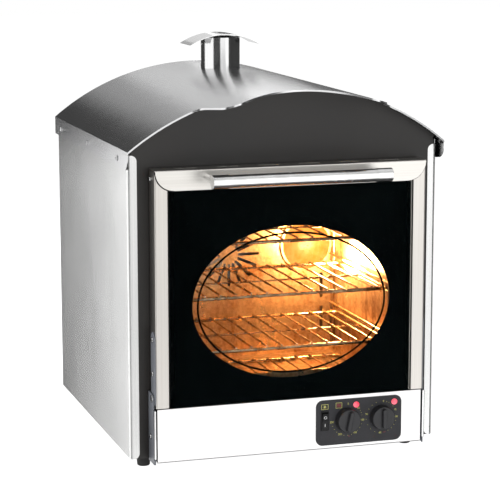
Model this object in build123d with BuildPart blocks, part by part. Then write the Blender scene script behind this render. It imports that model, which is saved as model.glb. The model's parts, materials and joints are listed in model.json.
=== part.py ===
from build123d import *
import math
import os

# Bench-top baked potato oven with a drop-down glass door, an arched canopy and a flue.
# Millimetres; +X to the right, +Y to the back, +Z up. The origin is on the surface that
# the oven stands on, under the middle of its bounding box.

os.makedirs("parts", exist_ok=True)

# ---------------------------------------------------------------- driving dimensions
# cabinet
body_w = 500.0          # across the side panels
body_d = 502.0          # front plate's face to the back of the side panels
side_h = 478.0          # side panel height
foot_h = 22.0           # rubber foot height
sheet = 1.2             # stainless body sheet
plate_t = 2.0           # enamelled front plate
flange_w = 14.4         # side panel flanges, front and back
flange_drop = 6.8       # top of the front flange below the side panel's top
bend_r = 5.0            # outside bend radius of the side panels
flange_corner_r = 9.0   # rounded ends of the side panel flanges
nest = 0.2              # clearance between nested sheets
pan_lip = 25.0          # upturned edge of the base pan
foot_r = 11.5           # foot radius where it meets the pan
foot_tip_r = 10.0       # foot radius on the table
foot_chamfer = 1.2
foot_inset_x = 31.0     # side panel's face to the foot's axis
foot_front = 41.0       # front plate to the front feet
foot_back = 42.0        # rear feet to the cabinet's back

# canopy
roof_over = 4.7         # overhang past each side panel
eave_rise = 0.8         # eave above the side panels
roof_rise = 91.5        # eave to apex
roof_flange_h = 29.0    # depth of the side flanges
roof_hem = 2.6          # depth of the turned-down front edge
roof_corner_r = 22.0    # rounded lower front corner of the side flanges
visor_eave = 22.0       # overhang in front of the plate, at the eaves
visor_slope = 0.10      # backward slope of the outline between visor and eave
visor_shoulder_in = 109.2   # eave to where the visor leaves that slope
visor_sweep_r = 20.0    # hollow corner there
visor_reach = 110.5     # overhang of the visor's two noses
visor_nose_in = 145.7   # eave to a nose
visor_nose_r = 21.5
visor_middle = 79.0     # overhang of the visor's hollow middle
hem_t = 3.0             # depth of the hem, front to back

# flue
flue_r = 33.0
flue_wall = 1.5
flue_rear = 35.0        # flue's axis to the oven's back wall
cap_half = 62.0         # half length of the arched cap
cap_rise = 18.0
cap_gap = 56.5          # canopy apex to the underside of the cap's middle
cap_t = 1.2
strap_w = 12.0          # strap that holds the cap
strap_t = 1.0
strap_drop = 22.0       # strap's legs below the tube's rim
strap_bend_r = 3.0
rivet_r = 3.0
rivet_h = 1.4
rivet_l = 4.0

# door
door_margin = 32.5      # side panel's face to the door's edge
door_proud = 38.8       # door face in front of the plate
door_lift = 86.7        # side panel's bottom to the door's bottom
door_h = 365.1
door_back_gap = 2.8     # door's back to the plate
stile_w = 21.0
stile_lip = 8.0         # ledge that carries the pane
rail_h = 31.3
rail_corner_r = 30.0
rail_return = 12.0
rail_bend_gap = 1.0     # stile's end to the rail's top, clear of the folds
rail_screw_in = 9.8     # door's back to the side screw
rail_screw_drop = 14.5
fold_r = 1.4            # middle radius of tight folds
pane_under = 12.0       # pane behind the rail
pane_t = 4.0
print_t = 0.3
door_nest = 0.2         # pane to stile
inner_pane_margin = 10.0
inner_window_in = 15.0  # mouth's edge to the inner window
channel_reach = 12.0    # pivot to the channel's back
shelf_rise = 4.0        # pivot to the channel's shelf
upstand_h = 8.0
slot_pitch = 65.0       # vents in the top of the rail
slot_l = 38.0
slot_w = 6.0
slot_count = 6

# printed mask on the pane
window_x = 1.0
window_lift = 239.6     # side panel's bottom to the ellipse's centre
window_rx = 159.9
window_rz = 119.0
keyline_in_x = 7.2      # ellipse's edge to the keyline
keyline_in_z = 8.7
keyline_drop = 1.3
keyline_w = 2.4

# hinge
pivot_back = 24.0       # pivot in front of the plate
pivot_lift = 100.5      # side panel's bottom to the pivot
pin_r = 3.5
pin_run = 0.05          # running clearance on the pin
pin_head_r = 6.0
arm_t = 1.5
arm_r = 12.0
arm_reach = 91.5        # pivot to the arm's upper end centre
arm_screw_share = 0.42  # second screw, along the arm
ear_r = 7.0             # bracket's ear round the pin
bracket_flange = 18.0
pin_nose = 3.0          # pin inside the stile
pin_head_t = 1.4
side_run = 0.5          # arm to bracket
bracket_t = 1.5
swing_gap = 0.5         # least gap while the door swings
open_gap = 1.3          # open door to fascia

# handle
handle_r = 9.9
handle_l = 284.0
handle_proud = 46.2     # door face to the bar's axis
handle_drop = 13.8      # door top to the bar's axis
sleeve_l = 25.0
sleeve_wall = 0.6
sleeve_end_t = 1.5
post_r = 5.5
post_inset = 7.0        # sleeve's end to the post's axis

# oven cavity
mouth_lap = 32.5        # door's edge to the mouth's edge
mouth_lift = 111.0      # side panel's bottom to the mouth's lower edge
mouth_top_lift = 432.0
mouth_r = 6.0
liner_t = 1.0
cooling_gap = 35.6      # fan motor to the rear panel
rim_w = 12.0
floor_lift = 77.5       # side panel's bottom to the oven floor
blanket_t = 25.0
blanket_nest = 0.5
fan_space = 82.0        # baffle's face to the oven's back wall
baffle_flange = 15.0
intake_in_r = 16.0      # radial intake slots in front of the fan
intake_in = 10.0        # fan's rim to the slots' outer ends
intake_slots = 16
intake_slot_w = 5.0
outlet_inset = 18.0     # side outlet slots
outlet_l = 44.0
outlet_w = 6.0
outlet_rows = (-120.0, -62.0, 62.0, 120.0)
seal_w = 8.0
seal_t = 2.4
seal_margin = 1.5       # mouth's edge to the seal

# racks
rack_wire_r = 3.0
rod_r = 1.6
weld = 0.6              # depth to which crossing wires are welded into each other
rod_pitch = 25.0
rack_pitch = 85.0
rack_lift = 156.5       # side panel's bottom to the lowest sliding rack
rack_front = 14.0
rack_back_gap = 58.0    # rack to the baffle
rack_side_gap = 8.0     # rack's side wire to the liner
rack_rest = 0.3         # rack above its runner
runner_r = 2.5
upright_r = 2.0
runner_gap = 13.0       # runners to the baffle
runner_inset = 8.0      # wires' ends past the uprights
rack_bend_r = 12.0
probe_r = 3.0
probe_l = 80.0
probe_off = 12.0        # liner to the bulb's axis
probe_drop = 22.0       # liner's roof to the bulb's axis
probe_gap = 83.0        # bulb's middle to the baffle
probe_clip_w = 5.0

# fan, element and lamp
fan_clear = 22.0        # element's axis to the fan's rim
fan_blades = 12
blade_d = 26.0
blade_t = 1.2
fan_hub_r = 11.0
fan_hub_front = 12.0
fan_hub_back = 8.0
blade_in_share = 0.53   # inner ends of the blades, share of the fan's radius
blade_rim = 3.0         # outer ends of the blades to the fan's rim
blade_sweep = 14.0
shaft_r = 4.0
shaft_run = 0.05
shaft_clear = 2.0       # holes that the shaft passes through
shaft_seat = 30.0       # length inside the motor
motor_edge_r = 6.0
fan_gap = 9.0           # baffle to the blades
motor_r = 32.0
motor_l = 52.0
motor_flange = 78.0
motor_flange_t = 3.0
standoff_r = 4.0
element_clear = 14.4    # element to the lamp's housing
element_tube_r = 3.6
element_gap = 16.0      # between the two turns
element_clips = 3
clip_w = 10.0
clip_t = 3.0
terminal_x = 14.0
terminal_r = 2.5
lamp_clear = 1.0        # lamp's bezel to the oven's side wall
lamp_lift = 266.0
lamp_r = 42.0
lamp_bezel_r = 46.0
lamp_can_r = 34.0
lamp_dome = 7.0
lamp_rim_t = 2.0
bezel_t = 4.0
socket_r = 12.0
socket_l = 20.0

# controls
fascia_recess = 3.8     # fascia behind the door's face
strip_recess = 2.4      # edge strips behind the door's face
fascia_side_gap = 4.0   # cheek to the fascia's edge
fascia_gap = 0.2        # side panel's bottom to the fascia's bottom
cover_flange = 6.0
cheek_flange = 14.0
strip_lift = 7.0
strip_corner_r = 1.5
tab_w = 16.0
strip_w = 3.2
cheek_fold_w = 2.6      # front fold that carries the strip
cheek_t = 1.5
cheek_lift = -2.0       # side panel's bottom to the cheek's bottom
panel_in = 104.2        # fascia's edge to the control plate's middle
panel_lift = 42.6
panel_w = 142.7
panel_h = 73.0
panel_r = 11.0
panel_t = 1.5
knob_r = 19.6
knob_skirt = 12.0
knob_grip_w = 9.0
knob_grip_h = 6.0
knob_gap = 1.0          # knob to the control plate
knob_draft = 5.0        # degrees
knob_grip_draft = 4.0
knob_edge_r = 1.2
thermostat_turn = 12.0  # degrees that the knob is left turned
knob_lift = 45.4
thermostat_off = -20.0  # control plate's middle to the thermostat
timer_off = 37.4
spindle_r = 3.0
spindle_run = 0.05
spindle_in = 12.0       # behind the fascia
spindle_out = 11.0      # inside the knob
thermostat_w = 36.0
thermostat_h = 34.0
thermostat_d = 22.0
timer_r = 17.0
timer_d = 28.0
bush_r = 5.0
bush_fit = 0.3
switch_off = -57.2
switch_lift = 46.6
switch_w = 13.2
switch_h = 32.0
switch_rim = 0.7        # housing's rim past its body
switch_rim_t = 1.5
switch_body_d = 14.0    # behind the rocker's axis
rocker_w = 9.4
rocker_h = 25.8
rocker_gap = 0.5
rocker_end_gap = 1.0
rocker_deep = 4.0       # rim's face to the rocker's axis
rocker_proud = 2.0      # level rocker's ends in front of the rim
rocker_dish = 1.2
rocker_end_t = 3.0
rocker_back_r = 5.0
rocker_pin_l = 0.9
rocker_tilt = 8.0       # degrees each side of level
rocker_pin_r = 1.2
lamp_lens_r = 4.8
lamp_neck_r = 3.6
lamp_lens_lift = 68.8
lamp_lens_off = (-5.1, 58.9)
lens_dome = 1.8
lens_rim_t = 1.2
lens_neck_l = 8.0

# rear and fasteners
gland_out = 14.0
gland_r = 9.0
gland_bore_r = 4.5
gland_thread_r = 6.5
gland_inset_x = 70.0
gland_lift = 38.0
gland_chamfer = 2.0
gland_thread_l = 9.0
gland_nut_t = 4.0
screw_r = 2.0
screw_head_r = 4.2
screw_head_h = 2.2
screw_fit = 0.1
screw_l = 9.0
roof_screw_rows = (43.0, 248.0, 454.0)      # front plate to each row
rear_screw_shares = (0.06, 0.5, 0.9)        # shares of the side panel's height
cheek_screw_lift = 39.0
wire_hole_r = 12.0
vent_l = 60.0
vent_w = 5.0
vent_pitch = 12.0
vent_rows = 8
vent_group = 130.0      # between the two columns of vents

# ---------------------------------------------------------------- derived places
overall_d = visor_reach + body_d + gland_out
plate_y = visor_reach - overall_d / 2           # face of the front plate
plate_back_y = plate_y + plate_t
side_x = body_w / 2
inner_x = side_x - sheet - nest                 # what fits between the side panels
base_z = foot_h
side_top_z = base_z + side_h
back_y = plate_y + body_d
rear_y = back_y - sheet                         # outer face of the rear panel

eave_x = side_x + roof_over
eave_z = side_top_z + eave_rise
roof_r = (eave_x**2 + roof_rise**2) / (2 * roof_rise)
roof_cz = eave_z + roof_rise - roof_r
apex_z = eave_z + roof_rise
gable_r = roof_r - sheet - nest

door_w = body_w - 2 * door_margin
door_x = door_w / 2
door_front_y = plate_y - door_proud
door_back_y = plate_y - door_back_gap
door_bottom_z = base_z + door_lift
door_top_z = door_bottom_z + door_h
skin_y = door_front_y + sheet                   # face of the pane and of the stiles
pane_back_y = skin_y + pane_t
lip_y = pane_back_y + print_t
pane_x = door_x - stile_w - door_nest
rail_bottom_z = door_top_z - rail_h

pivot_y = plate_y - pivot_back
pivot_z = base_z + pivot_lift
swing_r = pivot_back - bracket_t - swing_gap    # nothing behind the pivot reaches further
corner_r = math.hypot(pivot_y - door_front_y, pivot_z - door_bottom_z)
fascia_top_z = pivot_z - (pivot_y - door_front_y) - open_gap
cover_top_z = pivot_z - corner_r - open_gap
cheek_x = door_x + arm_t + side_run             # inner face of cheeks and brackets

mouth_w = door_w - 2 * mouth_lap
mouth_x = mouth_w / 2
mouth_z = base_z + mouth_lift
mouth_top_z = base_z + mouth_top_lift
floor_z = base_z + floor_lift
motor_y = rear_y - sheet - cooling_gap - motor_l            # front of the motor's flange
blanket_back_y = motor_y - blanket_nest
liner_back_y = blanket_back_y - blanket_t - blanket_nest - liner_t
liner_d = liner_back_y - plate_back_y
fan_z = (floor_z + mouth_top_z) / 2
baffle_y = liner_back_y - fan_space
flue_y = liner_back_y - flue_rear

fascia_y = door_front_y + fascia_recess         # face of the fascia
fascia_back_y = fascia_y + sheet
strip_y = door_front_y + strip_recess           # face of the edge strips
strip_back_y = strip_y + sheet
panel_y = fascia_y - panel_t                    # face of the control plate
panel_z = base_z + panel_lift
knob_z = base_z + knob_lift

plate_x = side_x - bend_r                       # front plate and rear panel stay off the bends
rack_x = mouth_x - rack_side_gap                # axis of a rack's side wire
runner_x = mouth_x - 2 * upright_r - runner_r + weld
lamp_z = base_z + lamp_lift
cheek_top_z = fascia_top_z - open_gap
cheek_bottom_z = base_z + cheek_lift
fascia_x = cheek_x - fascia_side_gap
panel_x = fascia_x - panel_in
thermostat_x = panel_x + thermostat_off
timer_x = panel_x + timer_off
switch_x = panel_x + switch_off
lamp_x = mouth_x - lamp_clear - lamp_bezel_r
element_r = lamp_x - lamp_can_r - element_clear - element_tube_r
fan_r = element_r - fan_clear
bay_back_y = plate_y - cheek_t - nest           # back of the fascia's floor and the bay's cover


def facing(y, x=0.0, z=0.0):
    """Plane at y that is sketched as seen from the front; extruding goes forwards."""
    return Plane(origin=(x, y, z), x_dir=(1, 0, 0), z_dir=(0, -1, 0))


def keep(name, builder):
    """Label a finished piece and write it to its own file."""
    builder.part.label = name
    export_step(builder.part, "parts/" + name + ".step")


def arch_z(x, radius):
    """Height of a canopy arc of this radius at x."""
    return roof_cz + math.sqrt(radius**2 - x**2)


def spread(count, pitch):
    """Evenly spaced offsets about zero."""
    return [(i - (count - 1) / 2) * pitch for i in range(count)]


# Places of the fasteners, shared by the screws and the holes that they pass through.
roof_screw_z = side_top_z - roof_flange_h / 2 - eave_rise
roof_screws = [(plate_y + row, roof_screw_z) for row in roof_screw_rows]
rear_screw_x = side_x - bend_r - screw_head_r
rear_screws = [
    (side * rear_screw_x, base_z + side_h * share)
    for side in (-1, 1)
    for share in rear_screw_shares
]
foot_spots = [
    (side * (side_x - foot_inset_x), y)
    for side in (-1, 1)
    for y in (plate_y + foot_front, back_y - foot_back)
]
cheek_screw_y = (fascia_back_y + plate_y) / 2
cheek_screw_z = base_z + cheek_screw_lift
gland_x = -side_x + gland_inset_x
gland_z = base_z + gland_lift
post_x = handle_l / 2 - post_inset
bar_y = door_front_y - handle_proud
bar_z = door_top_z - handle_drop
hole_r = screw_r + screw_fit

# ================================================================ cabinet shell
pan_front_y = plate_back_y
pan_back_y = rear_y - sheet
with BuildPart() as base_pan:
    with BuildSketch(Plane.XY.offset(base_z)):
        with Locations((0, (pan_front_y + pan_back_y) / 2)):
            RectangleRounded(2 * inner_x, pan_back_y - pan_front_y, bend_r)
    extrude(amount=pan_lip)
    offset(amount=-sheet, openings=base_pan.faces().sort_by(Axis.Z)[-1])
    with Locations([(x, y, base_z) for x, y in foot_spots]):
        Cylinder(hole_r, pan_lip, mode=Mode.SUBTRACT)
keep("base_pan", base_pan)

with BuildPart() as rubber_feet:
    with BuildSketch(Plane.XY):
        with Locations(foot_spots):
            Circle(foot_tip_r)
    extrude(amount=foot_h, taper=-math.degrees(math.atan2(foot_r - foot_tip_r, foot_h)))
    chamfer(rubber_feet.edges().group_by(Axis.Z)[0], foot_chamfer)
    with Locations([(x, y, base_z) for x, y in foot_spots]):
        Cylinder(hole_r, screw_l, align=(Align.CENTER, Align.CENTER, Align.MAX), mode=Mode.SUBTRACT)
keep("rubber_feet", rubber_feet)

# Side panel: one folded sheet with a flange over the front plate and one behind the
# rear panel.
with BuildPart() as right_side_panel:
    with BuildSketch(Plane.XY.offset(base_z)):
        with BuildLine():
            FilletPolyline(
                (side_x - flange_w, plate_y - sheet / 2),
                (side_x - sheet / 2, plate_y - sheet / 2),
                (side_x - sheet / 2, back_y - sheet / 2),
                (side_x - flange_w, back_y - sheet / 2),
                radius=bend_r - sheet / 2,
            )
        trace(line_width=sheet)
    extrude(amount=side_h)
    with Locations((side_x, plate_y, side_top_z)):
        Box(
            2 * flange_w + sheet,
            2 * bend_r,
            2 * flange_drop,
            mode=Mode.SUBTRACT,
        )
    flange_ends = right_side_panel.edges().filter_by(Axis.Y).group_by(Axis.X)[0]
    fillet(flange_ends, flange_corner_r)
    with Locations([(side_x, y, z) for y, z in roof_screws]):
        Cylinder(hole_r, screw_l, rotation=(0, 90, 0), mode=Mode.SUBTRACT)
    with Locations([(x, back_y, z) for x, z in rear_screws]):
        Cylinder(hole_r, screw_l, rotation=(90, 0, 0), mode=Mode.SUBTRACT)
keep("right_side_panel", right_side_panel)

with BuildPart() as left_side_panel:
    add(mirror(right_side_panel.part, about=Plane.YZ, mode=Mode.PRIVATE))
keep("left_side_panel", left_side_panel)

# Front plate: enamelled gable and door surround in one, with the oven mouth and two
# holes for the wiring of the control bay.
with BuildPart() as front_plate:
    with BuildSketch(facing(plate_back_y)):
        with Locations((0, (base_z + apex_z) / 2)):
            Rectangle(2 * plate_x, apex_z - base_z)
        with Locations((0, roof_cz)):
            Circle(gable_r, mode=Mode.INTERSECT)
        with Locations((0, (mouth_z + mouth_top_z) / 2)):
            RectangleRounded(mouth_w, mouth_top_z - mouth_z, mouth_r, mode=Mode.SUBTRACT)
        with Locations((thermostat_x, knob_z), (timer_x, knob_z)):
            Circle(wire_hole_r, mode=Mode.SUBTRACT)
    extrude(amount=plate_t)
keep("front_plate", front_plate)

# Rear panel: fills the gable at the back; rows of vents cool the fan motor.
with BuildPart() as rear_panel:
    with BuildSketch(facing(rear_y)):
        with Locations((0, (base_z + apex_z) / 2)):
            Rectangle(2 * plate_x, apex_z - base_z)
        with Locations((0, roof_cz)):
            Circle(gable_r, mode=Mode.INTERSECT)
        with Locations([
            (x, fan_z + z)
            for x in spread(2, vent_group)
            for z in spread(vent_rows, vent_pitch)
        ]):
            SlotOverall(vent_l, vent_w, mode=Mode.SUBTRACT)
        with Locations(rear_screws):
            Circle(hole_r, mode=Mode.SUBTRACT)
        with Locations((gland_x, gland_z)):
            Circle(gland_thread_r + screw_fit, mode=Mode.SUBTRACT)
    extrude(amount=sheet)
keep("rear_panel", rear_panel)

# Canopy: an arched sheet with side flanges hemmed in against the side panels. In plan
# its front edge swings out into a visor with two noses and a hollow middle.
eave_mid_x = eave_x - sheet / 2
eave_mid_z = arch_z(eave_mid_x, roof_r - sheet / 2)
flange_bottom_z = eave_z - roof_flange_h

visor_nose_x = eave_x - visor_nose_in
hollow_nose_r = (visor_nose_x**2 + (visor_reach - visor_middle) ** 2) / (
    2 * (visor_reach - visor_middle)
)                                               # radii of hollow middle and nose together
hollow_r = hollow_nose_r - visor_nose_r
hollow_c = Vector(0, plate_y - visor_middle - hollow_r)
nose_c = Vector(visor_nose_x, plate_y - visor_reach + visor_nose_r)
hollow_end = hollow_c + (nose_c - hollow_c).normalized() * hollow_r
hollow_mid = hollow_c + Vector(hollow_end.X / 2, math.sqrt(hollow_r**2 - hollow_end.X**2 / 4))
eave_front = Vector(eave_x, plate_y - visor_eave)
shoulder = eave_front - Vector(1, visor_slope) * visor_shoulder_in
to_shoulder = shoulder - nose_c
nose_turn = math.atan2(to_shoulder.Y, to_shoulder.X) - math.acos(visor_nose_r / to_shoulder.length)
nose_end = nose_c + Vector(math.cos(nose_turn), math.sin(nose_turn)) * visor_nose_r


def canopy_plan(shift=0.0):
    """Area behind the canopy's front edge seen from above, moved back by shift."""
    with BuildSketch() as plan:
        with BuildLine():
            ThreePointArc((0, plate_y - visor_middle), hollow_mid, hollow_end)
            ThreePointArc(hollow_end, (nose_c.X, plate_y - visor_reach), nose_end)
            FilletPolyline(
                nose_end,
                shoulder,
                eave_front + Vector(1, visor_slope) * body_w,
                radius=visor_sweep_r,
            )
            Polyline(
                eave_front + Vector(1, visor_slope) * body_w,
                (body_w, back_y + body_w),
                (0, back_y + body_w),
            )
            mirror(about=Plane.YZ)
        make_face()
    return plan.sketch.moved(Location((0, shift, 0)))


plan_edge = canopy_plan()
plan_edge_back = canopy_plan(hem_t)

with BuildPart() as canopy_hem:
    with BuildSketch(facing(back_y)):
        with Locations((0, roof_cz)):
            Circle(roof_r - sheet / 2)          # rooted in the middle of the sheet
            Circle(roof_r - roof_hem, mode=Mode.SUBTRACT)
        with Locations((0, eave_z)):
            Rectangle(2 * eave_x, 2 * roof_rise, mode=Mode.INTERSECT)
    extrude(amount=overall_d)
    with BuildSketch(Plane.XY):
        add(plan_edge)
        add(plan_edge_back, mode=Mode.SUBTRACT)
    extrude(amount=apex_z + roof_hem, mode=Mode.INTERSECT)

with BuildPart() as roof_canopy:
    with BuildSketch(facing(back_y)):
        with BuildLine():
            right_side = Polyline(
                (side_x, flange_bottom_z + sheet / 2),
                (eave_mid_x, flange_bottom_z + sheet / 2),
                (eave_mid_x, eave_mid_z),
            )
            RadiusArc(right_side @ 1, (0, apex_z - sheet / 2), -(roof_r - sheet / 2))
            mirror(about=Plane.YZ)
        trace(line_width=sheet)
    extrude(amount=overall_d)
    with BuildSketch(Plane.XY):
        add(plan_edge)
    extrude(amount=apex_z + roof_hem, mode=Mode.INTERSECT)
    with BuildSketch(Plane.YZ.offset(-body_w)):
        with BuildLine():
            FilletPolyline(
                (plate_y - visor_eave, eave_z - roof_hem),
                (plate_y - visor_eave, flange_bottom_z),
                (back_y + roof_hem, flange_bottom_z),
                radius=roof_corner_r,
            )
            Polyline(
                (back_y + roof_hem, flange_bottom_z),
                (back_y + roof_hem, apex_z + roof_hem),
                (plate_y - visor_reach - hem_t, apex_z + roof_hem),
                (plate_y - visor_reach - hem_t, eave_z - roof_hem),
                (plate_y - visor_eave, eave_z - roof_hem),
            )
        make_face()
    extrude(amount=2 * body_w, mode=Mode.INTERSECT)
    add(canopy_hem.part)
    with Locations((0, flue_y, apex_z)):
        Cylinder(flue_r + nest, roof_rise, mode=Mode.SUBTRACT)
    with Locations([(side * eave_x, y, z) for side in (-1, 1) for y, z in roof_screws]):
        Cylinder(hole_r, screw_l, rotation=(0, 90, 0), mode=Mode.SUBTRACT)
keep("roof_canopy", roof_canopy)

# ================================================================ flue
cap_r = (cap_half**2 + cap_rise**2) / (2 * cap_rise)
cap_top_z = apex_z + cap_gap + cap_t
cap_cz = cap_top_z - cap_r
tube_top_z = cap_cz + math.sqrt((cap_r - cap_t) ** 2 - flue_r**2) - nest
tube_bottom_z = mouth_top_z + liner_t

with BuildPart() as flue_tube:
    with BuildSketch(Plane.XY.offset(tube_bottom_z)):
        with Locations((0, flue_y)):
            Circle(flue_r)
            Circle(flue_r - flue_wall, mode=Mode.SUBTRACT)
    extrude(amount=tube_top_z - tube_bottom_z)
    with Locations((0, flue_y, tube_top_z - strap_drop / 2)):
        Cylinder(rivet_r / 2 + screw_fit, 3 * flue_r, rotation=(0, 90, 0), mode=Mode.SUBTRACT)
keep("flue_tube", flue_tube)

with BuildPart() as flue_cap:
    with BuildSketch(facing(flue_y + flue_r)):
        with Locations((0, cap_cz)):
            Circle(cap_r)
            Circle(cap_r - cap_t, mode=Mode.SUBTRACT)
        with Locations((0, cap_top_z)):
            Rectangle(2 * cap_half, 2 * cap_rise, mode=Mode.INTERSECT)
    extrude(amount=2 * flue_r)
    with Locations((0, flue_y, cap_top_z)):
        Cylinder(rivet_r / 2 + screw_fit, 4 * cap_t, mode=Mode.SUBTRACT)
keep("flue_cap", flue_cap)

# The strap under the cap runs down inside the tube on both sides and is riveted there.
strap_x = math.sqrt((flue_r - flue_wall - nest) ** 2 - (strap_w / 2) ** 2) - strap_t / 2
strap_top_z = cap_top_z - cap_t - strap_t / 2 - nest
with BuildPart() as cap_strap:
    with BuildSketch(facing(flue_y + strap_w / 2)):
        with BuildLine():
            FilletPolyline(
                (-strap_x, tube_top_z - strap_drop),
                (-strap_x, strap_top_z - cap_r + math.sqrt(cap_r**2 - strap_x**2) - strap_t),
                (0, strap_top_z),
                (strap_x, strap_top_z - cap_r + math.sqrt(cap_r**2 - strap_x**2) - strap_t),
                (strap_x, tube_top_z - strap_drop),
                radius=strap_bend_r,
            )
        trace(line_width=strap_t)
    extrude(amount=strap_w)
    with Locations((0, flue_y, tube_top_z - strap_drop / 2)):
        Cylinder(rivet_r / 2 + screw_fit, 3 * flue_r, rotation=(0, 90, 0), mode=Mode.SUBTRACT)
    with Locations((0, flue_y, cap_top_z)):
        Cylinder(rivet_r / 2 + screw_fit, 4 * cap_t + 2 * strap_t, mode=Mode.SUBTRACT)
keep("cap_strap", cap_strap)

with BuildPart() as cap_rivet:
    with BuildSketch(Plane.XZ):
        with BuildLine():
            Polyline(
                (rivet_r, 0),
                (rivet_r / 2, 0),
                (rivet_r / 2, -rivet_l),
                (0, -rivet_l),
                (0, rivet_h),
            )
            RadiusArc((0, rivet_h), (rivet_r, 0), (rivet_r**2 + rivet_h**2) / (2 * rivet_h))
        make_face()
    revolve(axis=Axis.Z)

with BuildPart() as cap_rivets:
    with Locations((0, flue_y, cap_top_z)):
        add(cap_rivet.part)
    with Locations(
        Location((flue_r, flue_y, tube_top_z - strap_drop / 2), (0, 90, 0)),
        Location((-flue_r, flue_y, tube_top_z - strap_drop / 2), (0, -90, 0)),
    ):
        add(cap_rivet.part)
keep("cap_rivets", cap_rivets)

# ================================================================ oven cavity
fan_front_y = baffle_y + sheet + fan_gap
fan_disc_y = fan_front_y + blade_d              # face of the impeller's back disc
element_y = fan_front_y + blade_d / 2
can_d = liner_back_y - baffle_y                 # lamp housing, baffle to liner
post_offset = motor_flange / 2 - 2 * standoff_r
motor_posts = [(sx * post_offset, fan_z + sz * post_offset) for sx in (-1, 1) for sz in (-1, 1)]
terminal_z = fan_z - math.sqrt(element_r**2 - terminal_x**2)
terminals = [(side * terminal_x, terminal_z) for side in (-1, 1)]
shaft_hole_r = shaft_r + shaft_clear

with BuildPart() as oven_liner:
    with BuildSketch(facing(liner_back_y + liner_t)):
        with Locations((0, fan_z)):
            RectangleRounded(
                mouth_w + 2 * liner_t, mouth_top_z - floor_z + 2 * liner_t, mouth_r + liner_t
            )
    extrude(amount=liner_d + liner_t)
    with BuildSketch(facing(plate_back_y + liner_t)):
        with Locations((0, fan_z)):
            RectangleRounded(mouth_w + 2 * rim_w, mouth_top_z - floor_z + 2 * rim_w, rim_w)
    extrude(amount=liner_t)
    with BuildSketch(facing(liner_back_y)):
        with Locations((0, fan_z)):
            RectangleRounded(mouth_w, mouth_top_z - floor_z, mouth_r)
    extrude(amount=liner_d, mode=Mode.SUBTRACT)
    with BuildSketch(facing(liner_back_y + liner_t)):
        with Locations((0, fan_z)):
            Circle(shaft_hole_r)
        with Locations(terminals):
            Circle(terminal_r + nest)
        with Locations((lamp_x, lamp_z)):
            Circle(socket_r + nest)
    extrude(amount=liner_t, mode=Mode.SUBTRACT)
    with Locations((0, flue_y, mouth_top_z)):
        Cylinder(flue_r - flue_wall, 4 * liner_t, mode=Mode.SUBTRACT)
keep("oven_liner", oven_liner)

# Mineral wool round the liner, open at the front.
wool_x = mouth_x + liner_t + blanket_nest       # inner face of the wool
wool_top_z = mouth_top_z + liner_t + blanket_nest
wool_floor_z = floor_z - liner_t - blanket_nest
with BuildPart() as insulation_blanket:
    with BuildSketch(facing(blanket_back_y)):
        with Locations((0, fan_z)):
            RectangleRounded(
                2 * (wool_x + blanket_t), wool_top_z - wool_floor_z + 2 * blanket_t, blanket_t
            )
    extrude(amount=blanket_back_y - plate_back_y - liner_t - blanket_nest)
    with BuildSketch(facing(blanket_back_y - blanket_t)):
        with Locations((0, fan_z)):
            RectangleRounded(2 * wool_x, wool_top_z - wool_floor_z, mouth_r)
    extrude(amount=liner_d + blanket_t, mode=Mode.SUBTRACT)
    with BuildSketch(facing(blanket_back_y)):
        with Locations((0, fan_z)):
            Circle(shaft_hole_r)
        with Locations(terminals):
            Circle(terminal_r + blanket_nest)
        with Locations(motor_posts):
            Circle(standoff_r + blanket_nest)
        with Locations((lamp_x, lamp_z)):
            Circle(socket_r + blanket_nest)
    extrude(amount=blanket_t, mode=Mode.SUBTRACT)
    with Locations((0, flue_y, wool_top_z + blanket_t / 2)):
        Cylinder(flue_r + blanket_nest, 2 * blanket_t, mode=Mode.SUBTRACT)
keep("insulation_blanket", insulation_blanket)

# Baffle in front of the fan: radial slots draw air in, side slots blow it out.
baffle_x = mouth_x - nest
intake_r = fan_r - intake_in
with BuildPart() as fan_baffle:
    with BuildSketch(Plane.XY.offset(floor_z + nest)):
        with BuildLine():
            FilletPolyline(
                (-baffle_x + sheet / 2, baffle_y + baffle_flange),
                (-baffle_x + sheet / 2, baffle_y + sheet / 2),
                (baffle_x - sheet / 2, baffle_y + sheet / 2),
                (baffle_x - sheet / 2, baffle_y + baffle_flange),
                radius=2 * sheet,
            )
        trace(line_width=sheet)
    extrude(amount=mouth_top_z - floor_z - 2 * nest)
    with BuildSketch(facing(baffle_y + sheet)):
        with Locations((0, fan_z)):
            with PolarLocations((intake_in_r + intake_r) / 2, intake_slots):
                SlotOverall(intake_r - intake_in_r, intake_slot_w)
        with Locations([
            (side * (baffle_x - outlet_inset), fan_z + z)
            for side in (-1, 1)
            for z in outlet_rows
        ]):
            SlotOverall(outlet_l, outlet_w, rotation=90)
        with Locations((lamp_x, lamp_z)):
            Circle(lamp_can_r + nest)
    extrude(amount=2 * sheet, both=True, mode=Mode.SUBTRACT)
    with BuildSketch(facing(liner_back_y)):
        with Locations((0, fan_z)):
            RectangleRounded(2 * baffle_x, mouth_top_z - floor_z - 2 * nest, mouth_r)
    extrude(amount=liner_d, mode=Mode.INTERSECT)
keep("fan_baffle", fan_baffle)

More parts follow.
